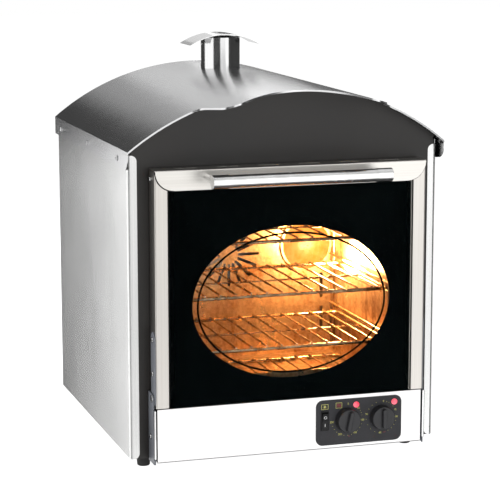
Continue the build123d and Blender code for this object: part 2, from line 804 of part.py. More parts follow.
# Lamp: a housing through the baffle with a bezel round a domed glass.
with BuildPart() as lamp_housing:
    with BuildSketch(Plane.XZ):
        with BuildLine():
            Polyline(
                (0, -can_d - socket_l),
                (socket_r, -can_d - socket_l),
                (socket_r, -can_d),
                (lamp_can_r, -can_d),
                (lamp_can_r, 0),
                (lamp_bezel_r, 0),
                (lamp_bezel_r, bezel_t),
                (lamp_r + nest, bezel_t),
                (lamp_r + nest, sheet),
                (lamp_can_r - sheet, sheet),
                (lamp_can_r - sheet, -can_d + sheet),
                (0, -can_d + sheet),
                close=True,
            )
        make_face()
    revolve(axis=Axis.Z)
with BuildPart() as lamp_holder:
    with Locations(facing(baffle_y, lamp_x, lamp_z)):
        add(lamp_housing.part)
keep("lamp_holder", lamp_holder)

lamp_dome_r = (lamp_r**2 + lamp_dome**2) / (2 * lamp_dome)
with BuildPart() as lamp_dome_solid:
    with BuildSketch(Plane.XZ):
        with BuildLine():
            Polyline((0, lamp_rim_t + lamp_dome), (0, 0), (lamp_r, 0), (lamp_r, lamp_rim_t))
            RadiusArc((lamp_r, lamp_rim_t), (0, lamp_rim_t + lamp_dome), -lamp_dome_r)
        make_face()
    revolve(axis=Axis.Z)
with BuildPart() as lamp_glass:
    with Locations(facing(baffle_y - sheet, lamp_x, lamp_z)):
        add(lamp_dome_solid.part)
keep("lamp_glass", lamp_glass)

# Ring element: two turns round the fan, held by three clips and fed by two terminals.
clip_d = liner_back_y - element_y + element_gap / 2
with BuildPart() as ring_element:
    for turn in spread(2, element_gap):
        with Locations(facing(element_y + turn, 0, fan_z)):
            Torus(element_r, element_tube_r)
    with BuildSketch(facing(liner_back_y, 0, fan_z)):
        with PolarLocations(element_r, element_clips, start_angle=90):
            Rectangle(clip_w, clip_t)
    extrude(amount=clip_d + element_tube_r + clip_t)
    with BuildSketch(facing(motor_y)):
        with Locations(terminals):
            Circle(terminal_r)
    extrude(amount=motor_y - element_y - element_gap / 2)
keep("ring_element", ring_element)

# Impeller: a back disc with curved blades on a hub.
blade_out_r = fan_r - blade_rim
with BuildSketch() as one_blade:
    with BuildLine():
        RadiusArc((blade_in_share * fan_r, 0), (blade_out_r, blade_sweep), -blade_out_r)
    trace(line_width=blade_t)

fan_disc_back_y = fan_disc_y + blade_t
with BuildPart() as fan_impeller:
    with BuildSketch(facing(fan_disc_back_y, 0, fan_z)):
        Circle(fan_r)
    extrude(amount=blade_t)
    with BuildSketch(facing(fan_disc_y, 0, fan_z)):
        with PolarLocations(0, fan_blades):
            add(one_blade.sketch)
    extrude(amount=blade_d)
    with BuildSketch(facing(fan_disc_back_y + fan_hub_back, 0, fan_z)):
        Circle(fan_hub_r)
    extrude(amount=fan_hub_back + blade_t + fan_hub_front)
    with Locations((0, fan_disc_y, fan_z)):
        Cylinder(shaft_r + pin_run, 4 * blade_d, rotation=(90, 0, 0), mode=Mode.SUBTRACT)
keep("fan_impeller", fan_impeller)

shaft_front_y = fan_disc_y - fan_hub_front
shaft_back_y = motor_y + shaft_seat
with BuildPart() as fan_shaft:
    with BuildSketch(facing(shaft_back_y, 0, fan_z)):
        Circle(shaft_r)
    extrude(amount=shaft_back_y - shaft_front_y)
keep("fan_shaft", fan_shaft)

# Motor: held off the liner by four posts through the wool.
with BuildPart() as fan_motor:
    with BuildSketch(facing(motor_y + motor_flange_t, 0, fan_z)):
        RectangleRounded(motor_flange, motor_flange, 2 * standoff_r)
    extrude(amount=motor_flange_t)
    with BuildSketch(facing(motor_y)):
        with Locations(motor_posts):
            Circle(standoff_r)
    extrude(amount=motor_y - liner_back_y - liner_t)
    with BuildSketch(facing(motor_y + motor_l, 0, fan_z)):
        Circle(motor_r)
    extrude(amount=motor_l - motor_flange_t)
    fillet(fan_motor.edges().group_by(Axis.Y)[-1], motor_edge_r)
    with BuildSketch(facing(motor_y + shaft_seat + spindle_run, 0, fan_z)):
        Circle(shaft_r + shaft_run)
    extrude(amount=shaft_seat + motor_flange_t, mode=Mode.SUBTRACT)
keep("fan_motor", fan_motor)

# ================================================================ racks
rack_front_y = plate_y + rack_front
rack_back_y = baffle_y - rack_back_gap
rack_depth = rack_back_y - rack_front_y
rod_rise = rack_wire_r + rod_r - weld
rod_count = int(2 * (rack_x - rack_wire_r) / rod_pitch)


def build_rack(z):
    """Wire rack: a frame with one cross wire, and rods welded on top, front to back."""
    with BuildPart() as rack:
        with BuildLine(Plane.XY.offset(z)) as loop:
            FilletPolyline(
                (0, rack_front_y),
                (rack_x, rack_front_y),
                (rack_x, rack_back_y),
                (-rack_x, rack_back_y),
                (-rack_x, rack_front_y),
                close=True,
                radius=(0, rack_bend_r, rack_bend_r, rack_bend_r, rack_bend_r),
            )
        with BuildSketch(Plane(origin=(0, rack_front_y, z), z_dir=(1, 0, 0))):
            Circle(rack_wire_r)
        sweep(path=loop.wires()[0])
        with Locations((0, rack_front_y + rack_depth / 2, z)):
            Cylinder(rod_r, 2 * rack_x, rotation=(0, 90, 0))
        with Locations([(x, rack_front_y, z + rod_rise) for x in spread(rod_count, rod_pitch)]):
            Cylinder(
                rod_r,
                rack_depth,
                rotation=(-90, 0, 0),
                align=(Align.CENTER, Align.CENTER, Align.MIN),
            )
    return rack


rack_levels = [base_z + rack_lift + i * rack_pitch for i in range(3)]
for rack_name, level in zip(("lower_rack", "middle_rack", "upper_rack"), rack_levels):
    keep(rack_name, build_rack(level))
keep("floor_grid", build_rack(floor_z + rack_wire_r + rack_rest))

# Runner ladders: two uprights each side, with a wire under and one above each rack.
runner_front_y = rack_front_y + runner_inset
runner_back_y = baffle_y - runner_gap
upright_places = (runner_front_y, runner_back_y - runner_inset)
under = rack_wire_r + rack_rest + runner_r
over = rod_rise + rod_r + rack_rest + runner_r
runner_wires = [level + step for level in rack_levels for step in (-under, over)]
with BuildPart() as right_rack_runner:
    with Locations([(mouth_x - upright_r - nest, y, fan_z) for y in upright_places]):
        Cylinder(upright_r, mouth_top_z - floor_z - 2 * mouth_r)
    with Locations([(runner_x - nest, runner_back_y, z) for z in runner_wires]):
        Cylinder(
            runner_r,
            runner_back_y - runner_front_y + runner_inset,
            rotation=(90, 0, 0),
            align=(Align.CENTER, Align.CENTER, Align.MIN),
        )
keep("right_rack_runner", right_rack_runner)

with BuildPart() as left_rack_runner:
    add(mirror(right_rack_runner.part, about=Plane.YZ, mode=Mode.PRIVATE))
keep("left_rack_runner", left_rack_runner)

# Thermostat probe: a bulb along the right wall on two clips, above the top rack.
probe_x = mouth_x - probe_off
probe_z = mouth_top_z - probe_drop
probe_y = baffle_y - probe_gap
with BuildPart() as thermostat_probe:
    with BuildSketch(facing(probe_y + probe_l / 2, probe_x, probe_z)):
        Circle(probe_r)
    extrude(amount=probe_l)
    fillet(thermostat_probe.edges(), probe_r / 2)
    with Locations([(probe_x, probe_y + y, probe_z) for y in spread(2, probe_l / 2)]):
        Box(
            mouth_x - probe_x - nest,
            probe_clip_w,
            2 * probe_r,
            align=(Align.MIN, Align.CENTER, Align.CENTER),
        )
keep("thermostat_probe", thermostat_probe)

# Seal on the front plate round the mouth.
seal_in_w = mouth_w + 2 * seal_margin
seal_in_h = mouth_top_z - mouth_z + 2 * seal_margin
with BuildPart() as door_seal:
    with BuildSketch(facing(plate_y)):
        with Locations((0, (mouth_z + mouth_top_z) / 2)):
            RectangleRounded(seal_in_w + 2 * seal_w, seal_in_h + 2 * seal_w, mouth_r + seal_w)
            RectangleRounded(seal_in_w, seal_in_h, mouth_r, mode=Mode.SUBTRACT)
    extrude(amount=seal_t)
    fillet(door_seal.edges().group_by(Axis.Y)[0], seal_t / 3)
keep("door_seal", door_seal)

# ================================================================ door
stile_x = door_x - stile_w                      # stile's inner edge, where the pane begins
lip_x = stile_x - stile_lip
stile_top_z = door_top_z - sheet - rail_bend_gap
inner_face_y = door_back_y - sheet              # back face of the inner frame
inner_front_y = inner_face_y - sheet            # its front face, where the inner pane sits
pane_bottom_z = door_bottom_z + nest
pane_top_z = rail_bottom_z + pane_under
upstand_top_z = pivot_z + shelf_rise + upstand_h
arm_screws = [(pivot_y, pivot_z + arm_reach), (pivot_y, pivot_z + arm_reach * arm_screw_share)]
rail_screw = (door_back_y - rail_screw_in, door_top_z - rail_screw_drop)
side_screws = arm_screws + [rail_screw]

# Stile: a folded channel whose inner return carries the pane. Below the pivot its back
# is cut to a circle about the hinge, so that nothing strikes the plate as it swings.
with BuildPart() as right_door_stile:
    with BuildSketch(Plane.XY.offset(door_bottom_z)):
        with BuildLine():
            FilletPolyline(
                (lip_x, lip_y + sheet / 2),
                (stile_x + sheet / 2, lip_y + sheet / 2),
                (stile_x + sheet / 2, skin_y + sheet / 2),
                (door_x - sheet / 2, skin_y + sheet / 2),
                (door_x - sheet / 2, door_back_y - sheet / 2),
                (stile_x, door_back_y - sheet / 2),
                radius=fold_r,
            )
        trace(line_width=sheet)
    extrude(amount=stile_top_z - door_bottom_z)
    with BuildSketch(Plane.YZ):
        with Locations((pivot_y, pivot_z)):
            Rectangle(2 * door_w, 2 * door_w, align=(Align.MIN, Align.MAX))
            Circle(swing_r, mode=Mode.SUBTRACT)
    extrude(amount=door_w, mode=Mode.SUBTRACT)
    with Locations((door_x, pivot_y, pivot_z)):
        Cylinder(pin_r + pin_run, 4 * sheet, rotation=(0, 90, 0), mode=Mode.SUBTRACT)
    with Locations([(door_x, y, z) for y, z in side_screws]):
        Cylinder(hole_r, 4 * sheet, rotation=(0, 90, 0), mode=Mode.SUBTRACT)
keep("right_door_stile", right_door_stile)

with BuildPart() as left_door_stile:
    add(mirror(right_door_stile.part, about=Plane.YZ, mode=Mode.PRIVATE))
keep("left_door_stile", left_door_stile)

# Top rail: laps over the stiles in front, with rounded lower corners; vents on top.
slot_y = (door_front_y + door_back_y) / 2
with BuildPart() as door_top_rail:
    with BuildSketch(Plane.YZ.offset(-door_x)):
        with BuildLine():
            FilletPolyline(
                (door_back_y - sheet / 2, door_top_z - rail_return),
                (door_back_y - sheet / 2, door_top_z - sheet / 2),
                (door_front_y + sheet / 2, door_top_z - sheet / 2),
                (door_front_y + sheet / 2, rail_bottom_z),
                radius=fold_r,
            )
        trace(line_width=sheet)
    extrude(amount=door_w)
    fillet(door_top_rail.edges().filter_by(Axis.Y).group_by(Axis.Z)[0], rail_corner_r)
    with Locations([
        (side * door_x, door_back_y, stile_top_z + nest) for side in (-1, 1)
    ]):
        Box(
            2 * (stile_w + nest),
            4 * sheet,
            rail_return,
            align=(Align.CENTER, Align.CENTER, Align.MAX),
            mode=Mode.SUBTRACT,
        )
    with BuildSketch(Plane.XY.offset(door_top_z - 2 * sheet)):
        with Locations([(x, slot_y) for x in spread(slot_count, slot_pitch)]):
            SlotOverall(slot_l, slot_w)
    extrude(amount=4 * sheet, mode=Mode.SUBTRACT)
    with Locations([(side * post_x, door_front_y, bar_z) for side in (-1, 1)]):
        Cylinder(hole_r, 4 * sheet, rotation=(90, 0, 0), mode=Mode.SUBTRACT)
keep("door_top_rail", door_top_rail)

# Bottom channel between the stiles, behind the pane; it steps up to the inner frame.
channel_back_y = pivot_y + channel_reach
with BuildPart() as door_bottom_channel:
    with BuildSketch(Plane.YZ.offset(-lip_x + nest)):
        with BuildLine():
            FilletPolyline(
                (lip_y + nest, door_bottom_z + sheet / 2),
                (channel_back_y, door_bottom_z + sheet / 2),
                (channel_back_y, pivot_z + shelf_rise),
                (inner_front_y - sheet / 2, pivot_z + shelf_rise),
                (inner_front_y - sheet / 2, upstand_top_z),
                radius=fold_r,
            )
        trace(line_width=sheet)
    extrude(amount=2 * (lip_x - nest))
keep("door_bottom_channel", door_bottom_channel)

with BuildPart() as door_outer_glass:
    with BuildSketch(facing(pane_back_y)):
        with Locations((0, (pane_bottom_z + pane_top_z) / 2)):
            Rectangle(2 * pane_x, pane_top_z - pane_bottom_z)
    extrude(amount=pane_t)
keep("door_outer_glass", door_outer_glass)

# Print on the back of the pane: a mask with an elliptical window, and a keyline in it.
window_z = base_z + window_lift
keyline_rx = window_rx - keyline_in_x
keyline_rz = window_rz - keyline_in_z
with BuildPart() as glass_print:
    with BuildSketch(facing(lip_y)):
        with Locations((0, (pane_bottom_z + pane_top_z) / 2)):
            Rectangle(2 * (pane_x - fold_r), pane_top_z - pane_bottom_z)
        with Locations((window_x, window_z)):
            Ellipse(window_rx, window_rz, mode=Mode.SUBTRACT)
        with Locations((window_x, window_z - keyline_drop)):
            Ellipse(keyline_rx, keyline_rz)
            Ellipse(keyline_rx - keyline_w, keyline_rz - keyline_w, mode=Mode.SUBTRACT)
    extrude(amount=print_t)
keep("glass_print", glass_print)

# Inner frame and pane, facing the oven.
inner_window_x = mouth_x - inner_window_in
inner_window_z = upstand_top_z + nest + inner_pane_margin
inner_window_top_z = mouth_top_z - inner_window_in
inner_mid_z = (inner_window_z + inner_window_top_z) / 2
inner_window_h = inner_window_top_z - inner_window_z
inner_bottom_z = pivot_z + swing_gap
with BuildPart() as door_inner_frame:
    with BuildSketch(facing(inner_face_y)):
        with Locations((0, (inner_bottom_z + stile_top_z) / 2)):
            Rectangle(2 * (door_x - sheet - fold_r), stile_top_z - inner_bottom_z)
        with Locations((0, inner_mid_z)):
            RectangleRounded(2 * inner_window_x, inner_window_h, mouth_r, mode=Mode.SUBTRACT)
    extrude(amount=sheet)
keep("door_inner_frame", door_inner_frame)

with BuildPart() as door_inner_glass:
    with BuildSketch(facing(inner_front_y)):
        with Locations((0, inner_mid_z)):
            Rectangle(
                2 * (inner_window_x + inner_pane_margin), inner_window_h + 2 * inner_pane_margin
            )
    extrude(amount=pane_t)
keep("door_inner_glass", door_inner_glass)

# Handle: a bar with capped end sleeves on two posts.
sleeve_r = handle_r + sleeve_wall
with BuildPart() as handle_bar:
    with Locations((0, bar_y, bar_z)):
        Cylinder(handle_r, handle_l - 2 * (sleeve_end_t + nest), rotation=(0, 90, 0))
keep("handle_bar", handle_bar)

with BuildPart() as handle_end_sleeves:
    with Locations([(side * (handle_l - sleeve_l) / 2, bar_y, bar_z) for side in (-1, 1)]):
        Cylinder(sleeve_r, sleeve_l, rotation=(0, 90, 0))
    with Locations((0, bar_y, bar_z)):
        Cylinder(
            handle_r + pin_run,
            handle_l - 2 * sleeve_end_t,
            rotation=(0, 90, 0),
            mode=Mode.SUBTRACT,
        )
    fillet(handle_end_sleeves.edges().group_by(Axis.X)[0], sleeve_wall)
    fillet(handle_end_sleeves.edges().group_by(Axis.X)[-1], sleeve_wall)
keep("handle_end_sleeves", handle_end_sleeves)

with BuildPart() as handle_posts:
    with BuildSketch(facing(door_front_y)):
        with Locations([(side * post_x, bar_z) for side in (-1, 1)]):
            Circle(post_r)
    extrude(amount=handle_proud)
    with Locations((0, bar_y, bar_z)):
        Cylinder(sleeve_r + pin_run, 2 * handle_l, rotation=(0, 90, 0), mode=Mode.SUBTRACT)
    with Locations([(side * post_x, door_front_y, bar_z) for side in (-1, 1)]):
        Cylinder(hole_r, 2 * screw_l, rotation=(90, 0, 0), mode=Mode.SUBTRACT)
keep("handle_posts", handle_posts)

# ================================================================ hinges
with BuildPart() as right_hinge_arm:
    with BuildSketch(Plane.YZ.offset(door_x)):
        with Locations((pivot_y, pivot_z + arm_reach / 2)):
            SlotCenterToCenter(arm_reach, 2 * arm_r, rotation=90)
        with Locations((pivot_y, pivot_z)):
            Circle(pin_r + pin_run, mode=Mode.SUBTRACT)
        with Locations(arm_screws):
            Circle(hole_r, mode=Mode.SUBTRACT)
    extrude(amount=arm_t)

with BuildPart() as hinge_arms:
    add(right_hinge_arm.part)
    add(mirror(right_hinge_arm.part, about=Plane.YZ, mode=Mode.PRIVATE))
keep("hinge_arms", hinge_arms)

ear_top_z = pivot_z + ear_r
ear_front_y = pivot_y - ear_r
with BuildPart() as right_hinge_bracket:
    with BuildSketch(Plane.XY.offset(cheek_top_z + nest)):
        with BuildLine():
            FilletPolyline(
                (cheek_x + bracket_t / 2, ear_front_y),
                (cheek_x + bracket_t / 2, plate_y - bracket_t / 2),
                (cheek_x - bracket_flange, plate_y - bracket_t / 2),
                radius=bracket_t,
            )
        trace(line_width=bracket_t)
    extrude(amount=ear_top_z - cheek_top_z - nest)
    ear_front_edges = right_hinge_bracket.edges().filter_by(Axis.X).group_by(Axis.Y)[0]
    fillet(ear_front_edges.sort_by(Axis.Z)[-1], ear_r - nest)
    with Locations((cheek_x, pivot_y, pivot_z)):
        Cylinder(pin_r + pin_run, 4 * bracket_t, rotation=(0, 90, 0), mode=Mode.SUBTRACT)

with BuildPart() as hinge_brackets:
    add(right_hinge_bracket.part)
    add(mirror(right_hinge_bracket.part, about=Plane.YZ, mode=Mode.PRIVATE))
keep("hinge_brackets", hinge_brackets)

pin_in_x = door_x - sheet - pin_nose
pin_head_x = cheek_x + bracket_t
with BuildPart() as right_hinge_pin:
    with BuildSketch(Plane.YZ.offset(pin_in_x)):
        with Locations((pivot_y, pivot_z)):
            Circle(pin_r)
    extrude(amount=pin_head_x - pin_in_x)
    with BuildSketch(Plane.YZ.offset(pin_head_x)):
        with Locations((pivot_y, pivot_z)):
            Circle(pin_head_r)
    extrude(amount=pin_head_t)
    fillet(right_hinge_pin.edges().group_by(Axis.X)[-1], pin_head_t / 2)

with BuildPart() as hinge_pins:
    add(right_hinge_pin.part)
    add(mirror(right_hinge_pin.part, about=Plane.YZ, mode=Mode.PRIVATE))
keep("hinge_pins", hinge_pins)

# ================================================================ control bay
fascia_bottom_z = base_z + fascia_gap
knob_places = [(thermostat_x, knob_z), (timer_x, knob_z)]
lens_places = [(panel_x + off, base_z + lamp_lens_lift) for off in lamp_lens_off]
switch_z = base_z + switch_lift
switch_body_w = switch_w - 2 * switch_rim
switch_body_h = switch_h - 2 * switch_rim

# Stainless cover over the bay, under the swing of the door.
with BuildPart() as control_bay_cover:
    with BuildSketch(Plane.YZ.offset(-fascia_x)):
        with BuildLine():
            FilletPolyline(
                (bay_back_y - sheet / 2, cover_top_z - cover_flange),
                (bay_back_y - sheet / 2, cover_top_z - sheet / 2),
                (fascia_back_y + nest + sheet / 2, cover_top_z - sheet / 2),
                (fascia_back_y + nest + sheet / 2, cover_top_z - cover_flange),
                radius=fold_r,
            )
        trace(line_width=sheet)
    extrude(amount=2 * fascia_x)
keep("control_bay_cover", control_bay_cover)

# Cheek: folded sheet beside the bay, with a flange on the front plate.
with BuildPart() as right_cheek:
    with BuildSketch(Plane.XY.offset(cheek_bottom_z)):
        with BuildLine():
            FilletPolyline(
                (cheek_x + cheek_t - cheek_fold_w, strip_back_y + nest + cheek_t / 2),
                (cheek_x + cheek_t / 2, strip_back_y + nest + cheek_t / 2),
                (cheek_x + cheek_t / 2, plate_y - cheek_t / 2),
                (cheek_x - cheek_flange, plate_y - cheek_t / 2),
                radius=cheek_t,
            )
        trace(line_width=cheek_t)
    extrude(amount=cheek_top_z - cheek_bottom_z)
    with Locations((cheek_x, cheek_screw_y, cheek_screw_z)):
        Cylinder(hole_r, 4 * cheek_t, rotation=(0, 90, 0), mode=Mode.SUBTRACT)
keep("right_cheek", right_cheek)

with BuildPart() as left_cheek:
    add(mirror(right_cheek.part, about=Plane.YZ, mode=Mode.PRIVATE))
keep("left_cheek", left_cheek)

# Bright strips at the cheeks' front edges.
strip_z = base_z + strip_lift
with BuildPart() as edge_strips:
    with BuildSketch(facing(strip_back_y)):
        with Locations([
            (side * (cheek_x + cheek_t - strip_w / 2), (strip_z + cheek_top_z) / 2)
            for side in (-1, 1)
        ]):
            RectangleRounded(strip_w, cheek_top_z - strip_z, strip_corner_r)
    extrude(amount=sheet)
keep("edge_strips", edge_strips)

# Fascia: front and floor of the bay in one sheet, with two tabs for the cheeks' screws.
tab_z = cheek_screw_z + tab_w / 2
with BuildPart() as fascia_panel:
    with BuildSketch(Plane.YZ.offset(-fascia_x)):
        with BuildLine():
            FilletPolyline(
                (fascia_y + sheet / 2, fascia_top_z),
                (fascia_y + sheet / 2, fascia_bottom_z + sheet / 2),
                (bay_back_y, fascia_bottom_z + sheet / 2),
                radius=fold_r,
            )
        trace(line_width=sheet)
    extrude(amount=2 * fascia_x)
    with Locations([
        (side * (fascia_x - sheet / 2), cheek_screw_y, fascia_bottom_z) for side in (-1, 1)
    ]):
        Box(
            sheet,
            tab_w,
            tab_z - fascia_bottom_z,
            align=(Align.CENTER, Align.CENTER, Align.MIN),
        )
    with Locations((0, cheek_screw_y, cheek_screw_z)):
        Cylinder(hole_r, 2 * cheek_x, rotation=(0, 90, 0), mode=Mode.SUBTRACT)
    with BuildSketch(facing(fascia_back_y)):
        with Locations(knob_places):
            Circle(bush_r + bush_fit)
        with Locations(lens_places):
            Circle(lamp_neck_r + screw_fit)
        with Locations((switch_x, switch_z)):
            Rectangle(switch_body_w + 2 * nest, switch_body_h + 2 * nest)
    extrude(amount=sheet, mode=Mode.SUBTRACT)
keep("fascia_panel", fascia_panel)

with BuildPart() as control_plate:
    with BuildSketch(facing(fascia_y)):
        with Locations((panel_x, panel_z)):
            RectangleRounded(panel_w, panel_h, panel_r)
        with Locations(knob_places):
            Circle(bush_r + bush_fit, mode=Mode.SUBTRACT)
        with Locations(lens_places):
            Circle(lamp_neck_r + screw_fit, mode=Mode.SUBTRACT)
        with Locations((switch_x, switch_z)):
            Rectangle(switch_body_w + 2 * nest, switch_body_h + 2 * nest, mode=Mode.SUBTRACT)
    extrude(amount=panel_t)
    plate_rim = control_plate.edges().group_by(Axis.Y)[0].filter_by(GeomType.LINE)
    fillet(plate_rim.group_by(SortBy.LENGTH)[-1], panel_t / 4)
keep("control_plate", control_plate)

# Switch: a housing through the fascia, and a rocker on two stub pins. The rocker rests
# with its lower half pressed.
rocker_y = panel_y - switch_rim_t + rocker_deep
with BuildPart() as switch_housing:
    with BuildSketch(facing(panel_y)):
        with Locations((switch_x, switch_z)):
            Rectangle(switch_w, switch_h)
    extrude(amount=switch_rim_t)
    fillet(switch_housing.edges().group_by(Axis.Y)[0], switch_rim_t / 2)
    with BuildSketch(facing(rocker_y + switch_body_d)):
        with Locations((switch_x, switch_z)):
            Rectangle(switch_body_w, switch_body_h)
    extrude(amount=rocker_y + switch_body_d - panel_y)
    with BuildSketch(facing(rocker_y + rocker_back_r + rocker_gap)):
        with Locations((switch_x, switch_z)):
            Rectangle(rocker_w + 2 * rocker_gap, rocker_h + 2 * rocker_end_gap)
    extrude(amount=switch_body_d, mode=Mode.SUBTRACT)
    with Locations((switch_x, rocker_y, switch_z)):
        Cylinder(
            rocker_pin_r + pin_run,
            rocker_w + 2 * (rocker_pin_l + nest),
            rotation=(0, 90, 0),
            mode=Mode.SUBTRACT,
        )
keep("switch_housing", switch_housing)

rocker_end_y = -rocker_deep - rocker_proud
with BuildPart() as rocker_shape:
    with BuildSketch(Plane.YZ.offset(-rocker_w / 2)):
        with BuildLine():
            Polyline(
                (-rocker_end_t + rocker_proud, rocker_h / 2),
                (rocker_end_y, rocker_h / 2),
                (rocker_end_y + rocker_dish, 0),
                (rocker_end_y, -rocker_h / 2),
                (-rocker_end_t + rocker_proud, -rocker_h / 2),
            )
            ThreePointArc(
                (-rocker_end_t + rocker_proud, -rocker_h / 2),
                (rocker_back_r, 0),
                (-rocker_end_t + rocker_proud, rocker_h / 2),
            )
        make_face()
    extrude(amount=rocker_w)
    Cylinder(rocker_pin_r, rocker_w + 2 * rocker_pin_l, rotation=(0, 90, 0))

with BuildPart() as switch_rocker:
    with Locations(Location((switch_x, rocker_y, switch_z), (rocker_tilt, 0, 0))):
        add(rocker_shape.part)
keep("switch_rocker", switch_rocker)

# Indicator lamps: domed lenses on necks through the plate.
lens_dome_r = (lamp_lens_r**2 + lens_dome**2) / (2 * lens_dome)
with BuildPart() as one_lens:
    with BuildSketch(Plane.XZ):
        with BuildLine():
            Polyline(
                (0, lens_rim_t + lens_dome),
                (0, -lens_neck_l),
                (lamp_neck_r, -lens_neck_l),
                (lamp_neck_r, 0),
                (lamp_lens_r, 0),
                (lamp_lens_r, lens_rim_t),
            )
            RadiusArc((lamp_lens_r, lens_rim_t), (0, lens_rim_t + lens_dome), -lens_dome_r)
        make_face()
    revolve(axis=Axis.Z)

with BuildPart() as indicator_lamps:
    with Locations([facing(panel_y, x, z) for x, z in lens_places]):
        add(one_lens.part)
keep("indicator_lamps", indicator_lamps)

# Thermostat and timer: bodies behind the fascia, held by their bushes.
spindle_back_y = fascia_back_y + spindle_in
with BuildPart() as thermostat_body:
    with BuildSketch(facing(fascia_back_y + thermostat_d)):
        with Locations((thermostat_x, knob_z)):
            RectangleRounded(thermostat_w, thermostat_h, fold_r)
    extrude(amount=thermostat_d)
    with BuildSketch(facing(fascia_back_y)):
        with Locations((thermostat_x, knob_z)):
            Circle(bush_r)
    extrude(amount=fascia_back_y - panel_y)
    with BuildSketch(facing(spindle_back_y + spindle_run)):
        with Locations((thermostat_x, knob_z)):
            Circle(spindle_r + spindle_run)
    extrude(amount=spindle_back_y + spindle_run - panel_y, mode=Mode.SUBTRACT)
keep("thermostat_body", thermostat_body)

with BuildPart() as timer_body:
    with BuildSketch(facing(fascia_back_y + timer_d)):
        with Locations((timer_x, knob_z)):
            Circle(timer_r)
    extrude(amount=timer_d)
    chamfer(timer_body.edges().group_by(Axis.Y)[-1], fold_r)
    with BuildSketch(facing(fascia_back_y)):
        with Locations((timer_x, knob_z)):
            Circle(bush_r)
    extrude(amount=fascia_back_y - panel_y)
    with BuildSketch(facing(spindle_back_y + spindle_run)):
        with Locations((timer_x, knob_z)):
            Circle(spindle_r + spindle_run)
    extrude(amount=spindle_back_y + spindle_run - panel_y, mode=Mode.SUBTRACT)
keep("timer_body", timer_body)

# Knob: a tapered disc with a grip bar across it, on the end of a spindle.
with BuildPart() as knob_grip:
    with BuildSketch(Plane.XY):
        SlotOverall(2 * (knob_r - 2 * knob_edge_r), knob_grip_w, rotation=90)
    extrude(amount=knob_skirt + knob_grip_h, taper=knob_grip_draft)
    fillet(knob_grip.edges().group_by(Axis.Z)[-1], knob_edge_r)

with BuildPart() as knob_shape:
    with BuildSketch(Plane.XY):
        Circle(knob_r)
    extrude(amount=knob_skirt, taper=knob_draft)
    fillet(knob_shape.edges().group_by(Axis.Z)[-1], knob_edge_r)
    add(knob_grip.part)
    with BuildSketch(Plane.XY):
        Circle(spindle_r + spindle_run)
    extrude(amount=spindle_out + spindle_run, mode=Mode.SUBTRACT)

knob_y = panel_y - knob_gap
with BuildPart() as thermostat_knob:
    with Locations(facing(knob_y, thermostat_x, knob_z) * Rotation(0, 0, -thermostat_turn)):
        add(knob_shape.part)
keep("thermostat_knob", thermostat_knob)

with BuildPart() as timer_knob:
    with Locations(facing(knob_y, timer_x, knob_z)):
        add(knob_shape.part)
keep("timer_knob", timer_knob)

with BuildPart() as thermostat_shaft:
    with BuildSketch(facing(spindle_back_y, thermostat_x, knob_z)):
        Circle(spindle_r)
    extrude(amount=spindle_back_y - knob_y + spindle_out)
keep("thermostat_shaft", thermostat_shaft)

with BuildPart() as timer_shaft:
    with BuildSketch(facing(spindle_back_y, timer_x, knob_z)):
        Circle(spindle_r)
    extrude(amount=spindle_back_y - knob_y + spindle_out)
keep("timer_shaft", timer_shaft)

# ================================================================ rear and fasteners
# Cord gland: a collar behind the rear panel, with its thread and nut inside.
gland_d = gland_out + sheet
with BuildPart() as cord_gland:
    with BuildSketch(facing(rear_y + gland_d, gland_x, gland_z)):
        Circle(gland_r)
    extrude(amount=gland_d)
    chamfer(cord_gland.edges().group_by(Axis.Y)[-1], gland_chamfer)
    with BuildSketch(facing(rear_y, gland_x, gland_z)):
        Circle(gland_thread_r)
    extrude(amount=gland_thread_l)
    with BuildSketch(facing(rear_y - sheet, gland_x, gland_z)):
        RegularPolygon(gland_r, 6)
        Circle(gland_thread_r + screw_fit, mode=Mode.SUBTRACT)
    extrude(amount=gland_nut_t)
    with Locations((gland_x, rear_y, gland_z)):
        Cylinder(
            gland_bore_r,
            2 * (gland_d + gland_thread_l),
            rotation=(90, 0, 0),
            mode=Mode.SUBTRACT,
        )
keep("cord_gland", cord_gland)

with BuildPart() as screw:
    Cylinder(screw_head_r, screw_head_h, align=(Align.CENTER, Align.CENTER, Align.MIN))
    chamfer(screw.edges().group_by(Axis.Z)[-1], screw_head_h / 2)
    Cylinder(screw_r, screw_l, align=(Align.CENTER, Align.CENTER, Align.MAX))

with BuildPart() as door_screws:
    with Locations([Location((door_x + arm_t, y, z), (0, 90, 0)) for y, z in arm_screws]):
        add(screw.part)
    with Locations(Location((door_x, *rail_screw), (0, 90, 0))):
        add(screw.part)
    with Locations([Location((-door_x - arm_t, y, z), (0, -90, 0)) for y, z in arm_screws]):
        add(screw.part)
    with Locations(Location((-door_x, *rail_screw), (0, -90, 0))):
        add(screw.part)
    with Locations([Location((side * post_x, skin_y, bar_z), (-90, 0, 0)) for side in (-1, 1)]):
        add(screw.part)
keep("door_screws", door_screws)

with BuildPart() as cabinet_screws:
    with Locations([Location((eave_x, y, z), (0, 90, 0)) for y, z in roof_screws]):
        add(screw.part)
    with Locations([Location((-eave_x, y, z), (0, -90, 0)) for y, z in roof_screws]):
        add(screw.part)
    with Locations([Location((x, back_y, z), (-90, 0, 0)) for x, z in rear_screws]):
        add(screw.part)
    with Locations(Location((cheek_x + cheek_t, cheek_screw_y, cheek_screw_z), (0, 90, 0))):
        add(screw.part)
    with Locations(Location((-cheek_x - cheek_t, cheek_screw_y, cheek_screw_z), (0, -90, 0))):
        add(screw.part)
    with Locations([(x, y, base_z + sheet) for x, y in foot_spots]):
        add(screw.part)
keep("cabinet_screws", cabinet_screws)
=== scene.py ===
import json
import math

